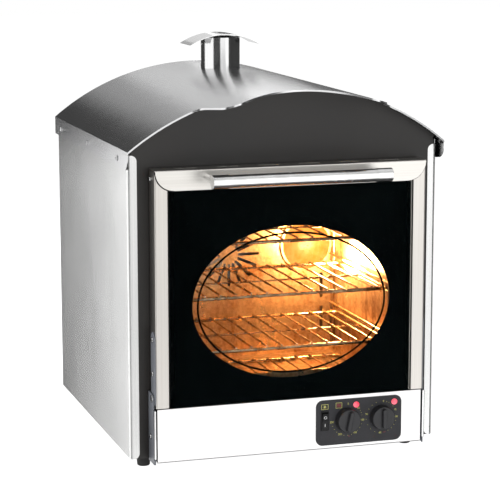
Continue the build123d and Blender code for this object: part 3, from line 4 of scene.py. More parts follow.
import bmesh
import bpy
from mathutils import Matrix, Quaternion, Vector


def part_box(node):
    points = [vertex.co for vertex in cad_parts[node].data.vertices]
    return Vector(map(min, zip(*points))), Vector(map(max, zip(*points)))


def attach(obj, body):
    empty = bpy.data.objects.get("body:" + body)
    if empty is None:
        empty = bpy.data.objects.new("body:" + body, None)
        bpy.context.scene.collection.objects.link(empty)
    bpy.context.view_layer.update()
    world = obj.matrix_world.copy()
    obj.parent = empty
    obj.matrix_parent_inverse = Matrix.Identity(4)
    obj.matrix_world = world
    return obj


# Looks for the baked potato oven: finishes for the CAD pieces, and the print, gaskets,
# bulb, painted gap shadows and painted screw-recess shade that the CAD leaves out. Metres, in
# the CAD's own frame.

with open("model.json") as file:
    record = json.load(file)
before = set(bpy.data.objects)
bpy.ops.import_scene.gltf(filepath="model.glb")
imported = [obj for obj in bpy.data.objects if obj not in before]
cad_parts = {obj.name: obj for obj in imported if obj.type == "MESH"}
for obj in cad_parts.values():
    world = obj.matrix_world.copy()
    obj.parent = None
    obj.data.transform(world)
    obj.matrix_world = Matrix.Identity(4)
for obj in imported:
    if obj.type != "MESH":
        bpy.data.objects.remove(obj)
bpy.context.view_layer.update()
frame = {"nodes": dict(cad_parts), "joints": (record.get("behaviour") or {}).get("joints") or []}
nodes = frame["nodes"]

MM = 0.001
WHITE = (1, 1, 1)
SIDES = ((-1, "left"), (1, "right"))


# ---------------------------------------------------------------- finishes
class Value:
    """One socket of a finish. Sums and products of these add their Math nodes."""

    def __init__(self, finish, socket):
        self.finish = finish
        self.socket = socket

    def _math(self, operation, first, second):
        return self.finish.node(
            "ShaderNodeMath", {0: first, 1: second}, operation=operation
        )

    def __add__(self, other):
        return self._math("ADD", self, other)

    def __radd__(self, other):
        return self._math("ADD", other, self)

    def __mul__(self, other):
        return self._math("MULTIPLY", self, other)

    def __rmul__(self, other):
        return self._math("MULTIPLY", other, self)


class Finish:
    """A material and its nodes."""

    def __init__(self, name):
        self.material = bpy.data.materials.new(name)
        self.material.use_nodes = True
        self.tree = self.material.node_tree
        self.tree.nodes.clear()
        self.place = self.node("ShaderNodeTexCoord", output="Object")

    def node(self, kind, sockets=None, output=0, **settings):
        """Any node: its settings are set first, then the values or links of its sockets."""
        made = self.tree.nodes.new(kind)
        for key, value in settings.items():
            setattr(made, key, value)
        for key, value in (sockets or {}).items():
            if isinstance(value, Value):
                self.tree.links.new(value.socket, made.inputs[key])
            else:
                made.inputs[key].default_value = value
        return Value(self, made.outputs[output])

    def stretched(self, scale, turn=(0, 0, 0)):
        """Object coordinates, turned and then scaled by axis."""
        return self.node(
            "ShaderNodeMapping", {"Vector": self.place, "Scale": scale, "Rotation": turn}
        )

    def noise(self, scale, detail=3.0, rough=0.55):
        """Cloudy or stretched grain from 0 to 1; scale is one number or one for each axis."""
        where = self.place
        if isinstance(scale, tuple):
            where, scale = self.stretched(scale), 1.0
        return self.node(
            "ShaderNodeTexNoise",
            {
                "Vector": where,
                "Scale": scale,
                "Detail": detail,
                "Roughness": rough,
            },
            output="Fac",
        )

    def span(self, mask, low, high, to_low=0.0, to_high=1.0):
        """The mask's stretch from low to high, spread over to_low to to_high."""
        return self.node(
            "ShaderNodeMapRange", {0: mask, 1: low, 2: high, 3: to_low, 4: to_high}
        )

    def tint(self, mask, dark, light):
        """A colour from dark to light as the mask goes from 0 to 1."""
        return self.node(
            "ShaderNodeMix",
            {0: mask, 6: rgba(dark), 7: rgba(light)},
            output=2,
            data_type="RGBA",
        )

    def bump(self, height, depth, strength=1.0):
        """Normals of a surface that rises by the height's own depth in metres."""
        return self.node(
            "ShaderNodeBump",
            {"Height": height, "Distance": depth, "Strength": strength},
        )

    def surface(self, **sockets):
        """The principled shader; its sockets are named with underscores for spaces."""
        named = {}
        for key, value in sockets.items():
            if isinstance(value, tuple):
                value = rgba(value)
            named[key.replace("_", " ")] = value
        return self.node("ShaderNodeBsdfPrincipled", named)

    def done(self, shader):
        """Ends the finish with this shader."""
        self.tree.links.new(
            shader.socket, self.tree.nodes.new("ShaderNodeOutputMaterial").inputs["Surface"]
        )
        return self.material


def rgba(colour):
    """A colour as a socket takes it."""
    return (*colour, 1.0)


def brushed_steel(name, dark, light, grain, rough):
    """Brushed stainless: fine and coarse streaks along one axis, with faint clouding."""
    f = Finish(name)
    fine = f.noise(tuple(5.0 if axis == grain else 1500.0 for axis in "xyz"), 2.0)
    coarse = f.noise(tuple(2.2 if axis == grain else 420.0 for axis in "xyz"), 3.0, 0.6)
    clouds = f.noise(5.0)
    mask = coarse * 0.3 + fine * 0.4 + clouds * 0.3
    return f.done(
        f.surface(
            Base_Color=f.tint(f.span(mask, 0.34, 0.66), dark, light),
            Metallic=1.0,
            Roughness=f.span(coarse + clouds, 0.7, 1.3, rough - 0.01, rough + 0.02),
            Normal=f.bump(fine + coarse, 0.00001, 0.5),
        )
    )


def baked_and_lamp_tinted_steel(name, dark, light):
    """Bright steel oven lining browned by baked-on film, in patches and runs, and tinted orange
    all over as painted light of the lamp; its lightest patches are partly painted highlights.
    """
    f = Finish(name)
    patches = f.noise(11.0, 5.0, 0.62)
    runs = f.noise((38.0, 60.0, 9.0), 4.0, 0.6)
    spots = f.noise(170.0, 3.0, 0.6)
    mask = patches * 0.5 + runs * 0.3 + spots * 0.2
    return f.done(
        f.surface(
            Base_Color=f.tint(f.span(mask, 0.40, 0.60), dark, light),
            Metallic=0.9,
            Roughness=f.span(mask, 0.4, 0.6, 0.46, 0.24),
            Normal=f.bump(patches + spots * 0.2, 0.0006, 0.6),
        )
    )


def polished_steel(name, colour, rough):
    """Polished or drawn steel with faint turning lines and finger haze."""
    f = Finish(name)
    haze = f.noise(38.0, 4.0)
    lines = f.noise((60.0, 900.0, 900.0), 2.0)
    shade = tuple(0.86 * c for c in colour)
    return f.done(
        f.surface(
            Base_Color=f.tint(f.span(haze, 0.35, 0.65), shade, colour),
            Metallic=1.0,
            Roughness=f.span(haze, 0.3, 0.7, rough, rough + 0.08),
            Normal=f.bump(lines, 0.00001, 0.4),
        )
    )


def enamel(name, dark, light, rough=0.38):
    """Fired enamel: satin, with fine orange peel and a few specks."""
    f = Finish(name)
    peel = f.noise(420.0, 2.0)
    clouds = f.noise(7.0, 3.0)
    specks = f.node(
        "ShaderNodeTexVoronoi", {"Vector": f.place, "Scale": 260.0}, output="Distance"
    )
    flaw = f.span(specks, 0.05, 0.11, 0.25, 0.0)
    return f.done(
        f.surface(
            Base_Color=f.tint(f.span(clouds, 0.3, 0.7) * 0.8 + flaw, dark, light),
            Roughness=f.span(clouds + peel * 0.3, 0.4, 0.9, rough - 0.04, rough + 0.08),
            Specular_IOR_Level=0.4,
            Normal=f.bump(peel, 0.00004, 0.5),
        )
    )


def moulded(name, dark, light, rough=0.45, grain=900.0, depth=0.00006, level=0.4):
    """Moulded plastic or rubber: even colour over a fine spark-eroded grain."""
    f = Finish(name)
    pits = f.noise(grain, 2.0)
    clouds = f.noise(30.0, 3.0)
    return f.done(
        f.surface(
            Base_Color=f.tint(f.span(clouds + pits * 0.3, 0.45, 0.85), dark, light),
            Roughness=f.span(clouds, 0.3, 0.7, rough - 0.05, rough + 0.08),
            Specular_IOR_Level=level,
            Normal=f.bump(pits, depth, 0.6),
        )
    )


def clear_pane(name, tone, ior):
    """Thin clear pane: see-through, glossy at a slant, with faint wipe marks."""
    f = Finish(name)
    wipes = f.noise((9.0, 9.0, 70.0), 3.0)
    gloss = f.node(
        "ShaderNodeBsdfGlossy",
        {
            "Color": rgba(WHITE),
            "Roughness": f.span(wipes, 0.45, 0.8, 0.02, 0.05),
        },
    )
    clear = f.node("ShaderNodeBsdfTransparent", {"Color": rgba(tone)})
    edge = f.node("ShaderNodeFresnel", {"IOR": ior})
    return f.done(f.node("ShaderNodeMixShader", {0: edge, 1: clear, 2: gloss}))


def glowing(name, colour, core, strength, body):
    """A lit lens or glass: softly uneven glow behind a finely ribbed front."""
    f = Finish(name)
    glow = f.noise(90.0, 2.0)
    ribs = f.noise(300.0, 1.0)
    return f.done(
        f.surface(
            Base_Color=tuple(body * c for c in colour),
            Roughness=0.25,
            Specular_IOR_Level=0.1,
            Emission_Color=f.tint(f.span(glow, 0.35, 0.65), colour, core),
            Emission_Strength=strength,
            Normal=f.bump(ribs, 0.0001, 0.3),
        )
    )


def printed(name, colour, worn):
    """Screen-printed ink, slightly uneven."""
    f = Finish(name)
    speckle = f.noise(1800.0, 2.0)
    return f.done(
        f.surface(
            Base_Color=f.tint(f.span(speckle, 0.35, 0.6), worn, colour),
            Roughness=0.5,
            Normal=f.bump(speckle, 0.00002, 0.4),
        )
    )


def wire(name, colour, dull):
    """Bright oven wire, browned a little in patches."""
    f = Finish(name)
    patches = f.noise(45.0, 4.0)
    return f.done(
        f.surface(
            Base_Color=f.tint(f.span(patches, 0.4, 0.62), dull, colour),
            Metallic=1.0,
            Roughness=f.span(patches, 0.35, 0.65, 0.32, 0.16),
            Normal=f.bump(f.noise(500.0, 2.0), 0.00003, 0.3),
        )
    )


def wool(name, dark, light):
    """Mineral wool: matted fibres."""
    f = Finish(name)
    fibres = f.noise((700.0, 90.0, 260.0), 4.0, 0.7)
    lumps = f.noise(45.0, 4.0)
    return f.done(
        f.surface(
            Base_Color=f.tint(f.span(fibres + lumps, 0.7, 1.3), dark, light),
            Roughness=0.95,
            Sheen_Weight=0.3,
            Normal=f.bump(fibres + lumps, 0.0015, 0.8),
        )
    )


def woven(name, dark, light, pitch):
    """Woven glass-fibre sleeving: two crossed diagonal waves."""
    f = Finish(name)
    waves = [
        f.node(
            "ShaderNodeTexWave",
            {
                "Vector": f.stretched((1, 1, 1), (0, turn, 0)),
                "Scale": pitch,
                "Distortion": 1.0,
            },
            output="Fac",
        )
        for turn in (math.radians(45), math.radians(-45))
    ]
    weave = waves[0] * waves[1]
    return f.done(
        f.surface(
            Base_Color=f.tint(weave, dark, light),
            Roughness=0.85,
            Normal=f.bump(weave, 0.0004, 0.8),
        )
    )


# Two colours are a finish's darker and lighter patches; one alone is its lightest.
cabinet_steel = brushed_steel(
    "cabinet_steel", (0.56, 0.56, 0.555), (0.66, 0.66, 0.655), "z", 0.25
)
hidden_steel = brushed_steel("hidden_steel", (0.34, 0.34, 0.34), (0.46, 0.46, 0.46), "z", 0.42)
roof_steel = brushed_steel("roof_steel", (0.55, 0.55, 0.555), (0.66, 0.66, 0.665), "y", 0.24)
flue_steel = brushed_steel("flue_steel", (0.54, 0.54, 0.54), (0.72, 0.72, 0.72), "z", 0.14)
door_steel = brushed_steel("door_steel", (0.53, 0.505, 0.47), (0.64, 0.615, 0.58), "z", 0.3)
rail_steel = brushed_steel("rail_steel", (0.60, 0.58, 0.545), (0.72, 0.70, 0.665), "x", 0.3)
fascia_steel = brushed_steel(
    "fascia_steel", (0.88, 0.87, 0.865), (0.94, 0.93, 0.925), "x", 0.38
)
# The lining's orange, from dark to light, is painted lamp light over its real browning.
oven_steel = baked_and_lamp_tinted_steel("oven_steel", (0.24, 0.10, 0.035), (0.90, 0.64, 0.36))
handle_steel = polished_steel("handle_steel", (0.94, 0.94, 0.935), 0.2)
sleeve_steel = polished_steel("sleeve_steel", (0.90, 0.90, 0.895), 0.18)
fastener_steel = polished_steel("fastener_steel", (0.50, 0.50, 0.50), 0.2)
shaft_steel = polished_steel("shaft_steel", (0.55, 0.55, 0.55), 0.25)
strip_steel = polished_steel("strip_steel", (0.86, 0.86, 0.86), 0.15)
gable_enamel = enamel("gable_enamel", (0.010, 0.0088, 0.0078), (0.022, 0.019, 0.017))
bracket_enamel = enamel("bracket_enamel", (0.09, 0.095, 0.11), (0.17, 0.18, 0.20), 0.42)
motor_enamel = enamel("motor_enamel", (0.10, 0.11, 0.12), (0.16, 0.17, 0.18), 0.4)
element_sheath = enamel("element_sheath", (0.05, 0.035, 0.03), (0.13, 0.09, 0.07), 0.5)
fan_aluminium = brushed_steel(
    "fan_aluminium", (0.60, 0.60, 0.60), (0.78, 0.78, 0.78), "x", 0.34
)
pane_glass = clear_pane("pane_glass", (0.99, 0.99, 0.985), 1.05)
mask_ink = moulded(
    "mask_ink",
    (0.0008, 0.0016, 0.0018),
    (0.0012, 0.0022, 0.0024),
    rough=0.35,
    grain=200.0,
    depth=0.0,
    level=0.0,
)
foot_rubber = moulded("foot_rubber", (0.012, 0.012, 0.012), (0.03, 0.03, 0.03), 0.7)
# Black rubber for the pane gaskets, also used as painted shadow in gaps and painted shade in
# screw recesses.
gasket_and_painted_shade_black = moulded(
    "gasket_and_painted_shade_black", (0.004, 0.004, 0.004), (0.010, 0.010, 0.010), 0.7, level=0.12
)
panel_plastic = moulded(
    "panel_plastic", (0.026, 0.026, 0.029), (0.040, 0.040, 0.045), 0.5, 700.0, level=0.25
)
knob_plastic = moulded("knob_plastic", (0.016, 0.016, 0.018), (0.028, 0.028, 0.031), 0.38)
switch_plastic = moulded(
    "switch_plastic", (0.006, 0.006, 0.007), (0.012, 0.012, 0.013), 0.35, level=0.25
)
seal_braid = woven("seal_braid", (0.05, 0.045, 0.04), (0.22, 0.20, 0.18), 320.0)
mineral_wool = wool("mineral_wool", (0.42, 0.38, 0.28), (0.70, 0.66, 0.52))
oven_wire = wire("oven_wire", (0.70, 0.54, 0.36), (0.26, 0.15, 0.07))
lens_red = glowing("lens_red", (0.85, 0.06, 0.10), (1.0, 0.30, 0.36), 0.75, 0.8)
lamp_glow = glowing("lamp_glow", (1.0, 0.34, 0.05), (1.0, 0.50, 0.12), 0.8, 0.06)
yellow_ink = printed("yellow_ink", (0.62, 0.60, 0.16), (0.40, 0.38, 0.10))
white_ink = printed("white_ink", (0.70, 0.70, 0.70), (0.50, 0.50, 0.50))
red_ink = printed("red_ink", (0.34, 0.035, 0.05), (0.22, 0.03, 0.04))

NODE_FINISHES = {
    cabinet_steel: "right_side_panel left_side_panel rear_panel",
    hidden_steel: "base_pan control_bay_cover",
    roof_steel: "roof_canopy",
    flue_steel: "flue_tube flue_cap",
    door_steel: "right_door_stile left_door_stile door_bottom_channel",
    rail_steel: "door_top_rail",
    fascia_steel: "fascia_panel",
    # door_inner_frame takes the lining's orange as painted lamp light, though its front, which
    # the camera sees, is in shade.
    oven_steel: "oven_liner fan_baffle lamp_holder door_inner_frame",
    handle_steel: "handle_bar",
    sleeve_steel: "handle_end_sleeves handle_posts",
    fastener_steel: "cap_strap cap_rivets door_screws cabinet_screws hinge_pins",
    shaft_steel: "fan_shaft thermostat_shaft timer_shaft thermostat_probe",
    strip_steel: "edge_strips",
    gable_enamel: "front_plate",
    bracket_enamel: "hinge_arms hinge_brackets left_cheek right_cheek",
    motor_enamel: "fan_motor",
    element_sheath: "ring_element",
    fan_aluminium: "fan_impeller",
    pane_glass: "door_outer_glass door_inner_glass",
    mask_ink: "glass_print",
    foot_rubber: "rubber_feet",
    panel_plastic: "control_plate",
    knob_plastic: "thermostat_knob timer_knob thermostat_body timer_body cord_gland",
    switch_plastic: "switch_housing switch_rocker",
    seal_braid: "door_seal",
    mineral_wool: "insulation_blanket",
    oven_wire: (
        "lower_rack middle_rack upper_rack floor_grid right_rack_runner left_rack_runner"
    ),
    lens_red: "indicator_lamps",
    lamp_glow: "lamp_glass",
}
for finish, names in NODE_FINISHES.items():
    for name in names.split():
        for slot in nodes[name].material_slots:
            slot.material = finish


# ---------------------------------------------------------------- making pieces
INK_DEPTH = 0.1 * MM


def piece(name, shape, finish, body, smooth=True):
    """Turns a bmesh, already in its place, into a piece that rides on a CAD body."""
    mesh = bpy.data.meshes.new(name)
    shape.to_mesh(mesh)
    shape.free()
    mesh.materials.append(finish)
    made = bpy.data.objects.new(name, mesh)
    bpy.context.scene.collection.objects.link(made)
    if smooth:
        mesh.shade_smooth()
    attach(made, body)


def centre_of(node):
    """Middle of a CAD node's box."""
    low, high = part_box(node)
    return (low + high) / 2


def turned(degrees, axis="Z"):
    """A turn about one axis."""
    return Matrix.Rotation(math.radians(degrees), 4, axis)


def shifted(x, y):
    """A step within the plane that is drawn in."""
    return Matrix.Translation((x, y, 0))


def on_front(x, y, z):
    """Places what is drawn in the XY plane on a wall that faces the front."""
    return Matrix.Translation((x, y, z)) @ turned(90, "X")


def only_verts(geometry):
    """The corners among what a bmesh operator has made."""
    return [part for part in geometry if isinstance(part, bmesh.types.BMVert)]


def add_mesh_of(shape, curve, place=Matrix()):
    """Adds the surface of a curve or of lettering to a shape, and drops the curve."""
    carrier = bpy.data.objects.new(curve.name, curve)
    bpy.context.scene.collection.objects.link(carrier)
    bpy.context.view_layer.update()
    built = carrier.evaluated_get(bpy.context.evaluated_depsgraph_get())
    mesh = bpy.data.meshes.new_from_object(built)
    mesh.transform(place)
    shape.from_mesh(mesh)
    bpy.data.meshes.remove(mesh)
    bpy.data.objects.remove(carrier)
    bpy.data.curves.remove(curve)


def add_words(shape, words, size, place):
    """Adds printed lettering, centred on its place."""
    curve = bpy.data.curves.new("words", "FONT")
    curve.body = words
    curve.size = size
    curve.align_x = "CENTER"
    curve.align_y = "CENTER"
    curve.extrude = INK_DEPTH / 2
    add_mesh_of(shape, curve, place)


def add_dot(shape, radius, place):
    """Adds a printed dot."""
    bmesh.ops.create_cone(
        shape,
        cap_ends=True,
        segments=16,
        radius1=radius,
        radius2=radius,
        depth=INK_DEPTH,
        matrix=place,
    )


def add_bar(shape, length, width, place, depth=INK_DEPTH):
    """Adds a flat bar along the place's X axis."""
    bmesh.ops.create_cube(
        shape, size=1.0, matrix=place @ Matrix.Diagonal((length, width, depth, 1))
    )


def add_frame(shape, wide, high, line, place):
    """Adds the printed outline of a rectangle."""
    for side in (-1, 1):
        add_bar(shape, wide, line, place @ shifted(0, side * (high - line) / 2))
        add_bar(shape, line, high, place @ shifted(side * (wide - line) / 2, 0))


def flat_ring(radii, line, depth, sides):
    """An oval ring in the XY plane, of one line width at its four ends."""
    ring = bmesh.new()
    bmesh.ops.create_circle(ring, segments=sides, radius=1.0)
    bmesh.ops.scale(ring, verts=ring.verts, vec=(*radii, 1))
    rim = bmesh.ops.extrude_edge_only(ring, edges=ring.edges[:])["geom"]
    inward = [1 - line / radius for radius in radii]
    bmesh.ops.scale(ring, verts=only_verts(rim), vec=(*inward, 1))
    raised = bmesh.ops.extrude_face_region(ring, geom=ring.faces[:])["geom"]
    bmesh.ops.translate(ring, verts=only_verts(raised), vec=(0, 0, depth))
    bmesh.ops.recalc_face_normals(ring, faces=ring.faces)
    return ring


# ---------------------------------------------------------------- print on the control plate
MARK_RING = 25.5 * MM           # dial's axis to its figures and dots
FIGURE_H = 4.4 * MM
UNIT_H = 3.2 * MM               # height of the thermostat's unit
SMALL_UNIT_H = 3.0 * MM         # and of the timer's
DOT_R = 0.45 * MM

# Angles in degrees, clockwise from the top of each dial.
THERMOSTAT_FIGURES = {"0": 4, "50": 47, "100": 95, "150": 149, "200": 207, "250": 265}
THERMOSTAT_DOTS = (59, 68, 77, 110, 124, 137, 163, 177, 192, 222, 236, 250)
TIMER_FIGURES = {"0": 8, "15": 66, "30": 93, "60": 184, "90": 284}
TIMER_DOTS = (20, 30, 40, 50, 108, 123, 138, 153, 205, 225, 245, 265, 304, 322, 340)
TIMER_UNIT = 168

SIGN_LINE = 0.6 * MM
LAMP_SIGN_W = 11.6 * MM
LAMP_SIGN_H = 8.4 * MM
LAMP_SIGN_UP = 22.0 * MM        # above the switch
SUN_R = 1.5 * MM
RAYS = 8
RAY_L = 1.2 * MM
RAY_W = 0.4 * MM
RAY_OUT = 2.5 * MM              # sun's middle to a ray's middle
OVEN_SIGN_W = 10.4 * MM
OVEN_SIGN_H = 9.0 * MM
OVEN_SIGN_LEFT = 13.8 * MM      # left of the thermostat's axis
OVEN_SIGN_UP = 24.0 * MM
SHELVES = (-1, 0, 1)
SHELF_L = 7.4 * MM
SHELF_W = 0.9 * MM
SHELF_PITCH = 2.2 * MM
UNIT_RIGHT = 3.0 * MM           # thermostat's axis to its unit
UNIT_DOWN = 27.0 * MM

ink_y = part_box("control_plate")[0].y - INK_DEPTH / 2
thermostat = centre_of("thermostat_shaft")
timer = centre_of("timer_shaft")
switch = centre_of("switch_housing")


def round_dial(dial, degrees):
    """Place on the ring of marks round a dial."""
    turn = math.radians(degrees)
    return on_front(
        dial.x + MARK_RING * math.sin(turn), ink_y, dial.z + MARK_RING * math.cos(turn)
    )


yellow = bmesh.new()
for dial, figures, dots in (
    (thermostat, THERMOSTAT_FIGURES, THERMOSTAT_DOTS),
    (timer, TIMER_FIGURES, TIMER_DOTS),
):
    for words, degrees in figures.items():
        add_words(yellow, words, FIGURE_H, round_dial(dial, degrees))
    for degrees in dots:
        add_dot(yellow, DOT_R, round_dial(dial, degrees))

lamp_sign = on_front(switch.x, ink_y, switch.z + LAMP_SIGN_UP)
add_frame(yellow, LAMP_SIGN_W, LAMP_SIGN_H, SIGN_LINE, lamp_sign)
add_dot(yellow, SUN_R, lamp_sign)
for ray in range(RAYS):
    add_bar(yellow, RAY_L, RAY_W, lamp_sign @ turned(360 / RAYS * ray) @ shifted(RAY_OUT, 0))
oven_sign = on_front(thermostat.x - OVEN_SIGN_LEFT, ink_y, thermostat.z + OVEN_SIGN_UP)
add_frame(yellow, OVEN_SIGN_W, OVEN_SIGN_H, SIGN_LINE, oven_sign)
piece("panel_marks", yellow, yellow_ink, "cabinet", smooth=False)

red = bmesh.new()
for shelf in SHELVES:
    add_bar(red, SHELF_L, SHELF_W, oven_sign @ shifted(0, shelf * SHELF_PITCH))
unit_place = on_front(thermostat.x + UNIT_RIGHT, ink_y, thermostat.z - UNIT_DOWN)
add_words(red, "°C", UNIT_H, unit_place)
add_words(red, "min", SMALL_UNIT_H, round_dial(timer, TIMER_UNIT))
piece("panel_marks_red", red, red_ink, "cabinet", smooth=False)


# ---------------------------------------------------------------- legend on the rocker
ROCKER_HALF_H = 12.9 * MM
ROCKER_DISH = 1.2 * MM          # its middle behind its ends
ROCKER_TIP = 8.0                # degrees from level, as it rests
FACE_OUT = 5.42 * MM            # rocker's axis to the print on a face
FACE_SLOPE = math.degrees(math.atan2(ROCKER_DISH, ROCKER_HALF_H))
LEGEND_O_R = 2.5 * MM
LEGEND_O_LINE = 0.7 * MM
LEGEND_I_W = 0.9 * MM
LEGEND_I_H = 5.0 * MM

rocker_axis = next(
    joint["pos_m"] for joint in frame["joints"] if joint["name"] == "power_rock"
)


def rocker_face(side):
    """Middle of the rocker's upper (1) or lower (-1) sloping face."""
    return (
        Matrix.Translation(rocker_axis)
        @ turned(ROCKER_TIP, "X")
        @ Matrix.Translation((0, -FACE_OUT, side * ROCKER_HALF_H / 2))
        @ turned(90 + side * FACE_SLOPE, "X")
    )


legend = flat_ring((LEGEND_O_R, LEGEND_O_R), LEGEND_O_LINE, INK_DEPTH, 32)
bmesh.ops.transform(legend, matrix=rocker_face(1), verts=legend.verts)
add_bar(legend, LEGEND_I_W, LEGEND_I_H, rocker_face(-1))
piece("rocker_legend", legend, white_ink, "power_rocker", smooth=False)


# ---------------------------------------------------------------- painted gap shadows and gaskets
CORNER_R = 30.0 * MM            # rounded lower corners of the top rail
CORNER_STEP = 9                 # degrees
EDGE_R = 0.9 * MM
EDGE_SUNK = 0.3 * MM            # rail's face to the bead's middle
PANE_GAP = 0.1 * MM             # pane's edge to its gasket's middle
PANE_LIFT = 0.5 * MM            # gasket's foot above the pane's
UNDER_RAIL = 4.0 * MM           # gasket's top behind the rail
STRIP_W = 3.2 * MM
STRIP_SUNK = 0.4 * MM
STRIP_EDGE_R = 0.65 * MM


def bead(name, points, radius, body):
    """A round black bead from point to point, used for rubber gaskets and for painted shadow
    along gaps.
    """
    curve = bpy.data.curves.new(name, "CURVE")
    curve.dimensions = "3D"
    curve.bevel_depth = radius
    curve.bevel_resolution = 3
    curve.use_fill_caps = True
    line = curve.splines.new("POLY")
    line.points.add(len(points) - 1)
    for spot, point in zip(line.points, points):
        spot.co = (*point, 1)
    shape = bmesh.new()
    add_mesh_of(shape, curve)
    piece(name, shape, gasket_and_painted_shade_black, body)


# Black beads round the top rail's lower corners and along its lower edge are painted shadow in
# the gap there, boldest on the left, where the shadow falls.
rail_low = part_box("door_top_rail")[0]
edge_y = rail_low.y + EDGE_SUNK
left_turn = [
    (
        rail_low.x + CORNER_R * (1 - math.cos(turn)),
        edge_y,
        rail_low.z + CORNER_R * (1 - math.sin(turn)) - EDGE_R / 2,
    )
    for turn in map(math.radians, range(0, 91, CORNER_STEP))
]
right_turn = [(-x, y, z) for x, y, z in reversed(left_turn)]
bead("left_rail_painted_shadow", left_turn, EDGE_R, "door")
bead("right_rail_painted_shadow", right_turn, EDGE_R / 3, "door")
bead("lower_rail_painted_shadow", [left_turn[-1], right_turn[0]], EDGE_R / 2, "door")

pane_low, pane_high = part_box("door_outer_glass")
for side, label in SIDES:
    x = side * (pane_high.x + PANE_GAP)
    foot = (x, pane_low.y, pane_low.z + PANE_LIFT)
    top = (x, pane_low.y, rail_low.z + UNDER_RAIL)
    bead(label + "_pane_gasket", [foot, top], EDGE_R, "door")

# Black beads round each edge strip's inner, lower and outer edges are painted shadow in the gaps
# beside it.
strip_low, strip_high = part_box("edge_strips")
front = strip_low.y + STRIP_SUNK
for side, label in SIDES:
    outer, inner = side * strip_high.x, side * (strip_high.x - STRIP_W)
    outline = [
        (inner, front, strip_high.z),
        (inner, front, strip_low.z),
        (outer, front, strip_low.z),
        (outer, front, strip_high.z),
    ]
    bead(label + "_strip_painted_shadow", outline, STRIP_EDGE_R, "cabinet")


# ---------------------------------------------------------------- keyline in the window
# It is a little bolder than the printed one that it lies behind.
WINDOW_X = 1.0 * MM             # the oval's middle
WINDOW_Z = 260.3 * MM
KEYLINE_RX = 153.1 * MM
KEYLINE_RZ = 110.7 * MM
KEYLINE_W = 3.2 * MM
KEYLINE_T = 0.05 * MM
KEYLINE_BACK = 0.08 * MM        # behind the print

keyline = flat_ring((KEYLINE_RX, KEYLINE_RZ), KEYLINE_W, KEYLINE_T, 128)
keyline_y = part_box("glass_print")[1].y + KEYLINE_BACK
bmesh.ops.transform(
    keyline, matrix=on_front(WINDOW_X, keyline_y, WINDOW_Z), verts=keyline.verts
)
piece("window_keyline", keyline, mask_ink, "door", smooth=False)


# ---------------------------------------------------------------- bulb behind the lamp glass
BULB_BACK = 8.0 * MM            # glass's back to the bulb's tip
BULB_STEPS = 32
# Radius and distance from the tip, in millimetres, from the tip to the end of the cap.
BULB = (
    (0.0, 0.0),
    (4.0, 0.4),
    (9.5, 4.5),
    (12.5, 11.0),
    (12.0, 18.0),
    (8.5, 25.0),
    (7.0, 32.0),
    (7.0, 40.0),
    (0.0, 41.0),
)

lamp_low, lamp_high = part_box("lamp_glass")
lamp = centre_of("lamp_glass")
bulb = bmesh.new()
outline = [bulb.verts.new((radius * MM, 0, -back * MM)) for radius, back in BULB]
edges = [bulb.edges.new(pair) for pair in zip(outline, outline[1:])]
bmesh.ops.spin(
    bulb,
    geom=outline + edges,
    axis=(0, 0, 1),
    cent=(0, 0, 0),
    angle=2 * math.pi,
    steps=BULB_STEPS,
    use_merge=True,
)
bmesh.ops.remove_doubles(bulb, verts=bulb.verts, dist=0.01 * MM)
bmesh.ops.recalc_face_normals(bulb, faces=bulb.faces)
bmesh.ops.transform(
    bulb, matrix=on_front(lamp.x, lamp_high.y + BULB_BACK, lamp.z), verts=bulb.verts
)
piece("lamp_bulb", bulb, lamp_glow, "cabinet")


# ---------------------------------------------------------------- painted shade in the screw recesses
CROSS_L = 4.0 * MM
CROSS_W = 1.0 * MM
CROSS_T = 0.2 * MM
CROSS_BEVEL = 0.05 * MM
CROSS_TURNS = (35, 125)         # degrees


def solids_of(node):
    """Lowest and highest corners of each separate solid of a node."""
    shape = bmesh.new()
    shape.from_mesh(nodes[node].data)
    bmesh.ops.remove_doubles(shape, verts=shape.verts, dist=0.001 * MM)
    waiting = dict.fromkeys(shape.verts)
    boxes = []
    while waiting:
        reached = [waiting.popitem()[0]]
        spots = []
        while reached:
            vert = reached.pop()
            spots.append(vert.co.copy())
            for link in vert.link_edges:
                other = link.other_vert(vert)
                if other in waiting:
                    del waiting[other]
                    reached.append(other)
        boxes.append((Vector(map(min, zip(*spots))), Vector(map(max, zip(*spots)))))
    shape.free()
    return boxes


def painted_recess_shade(name, node, body):
    """Painted shade of cross recesses: flat black crosses on the screws' heads; each screw is
    longest along its own axis.
    """
    shape = bmesh.new()
    for low, high in solids_of(node):
        middle, size = (low + high) / 2, high - low
        axis = max(range(3), key=lambda i: size[i])
        outward = Vector((0, 0, 0))
        outward[axis] = math.copysign(1, middle[axis])
        spot = middle + outward * size[axis] / 2
        head = Matrix.Translation(spot) @ outward.to_track_quat("Z", "Y").to_matrix().to_4x4()
        for degrees in CROSS_TURNS:
            add_bar(shape, CROSS_L, CROSS_W, head @ turned(degrees), CROSS_T)
    bmesh.ops.bevel(
        shape,
        geom=shape.edges[:],
        offset=CROSS_BEVEL,
        segments=1,
        profile=0.5,
        affect="EDGES",
        material=-1,
    )
    piece(name, shape, gasket_and_painted_shade_black, body, smooth=False)


painted_recess_shade("cabinet_screw_recess_shade", "cabinet_screws", "cabinet")
painted_recess_shade("door_screw_recess_shade", "door_screws", "door")


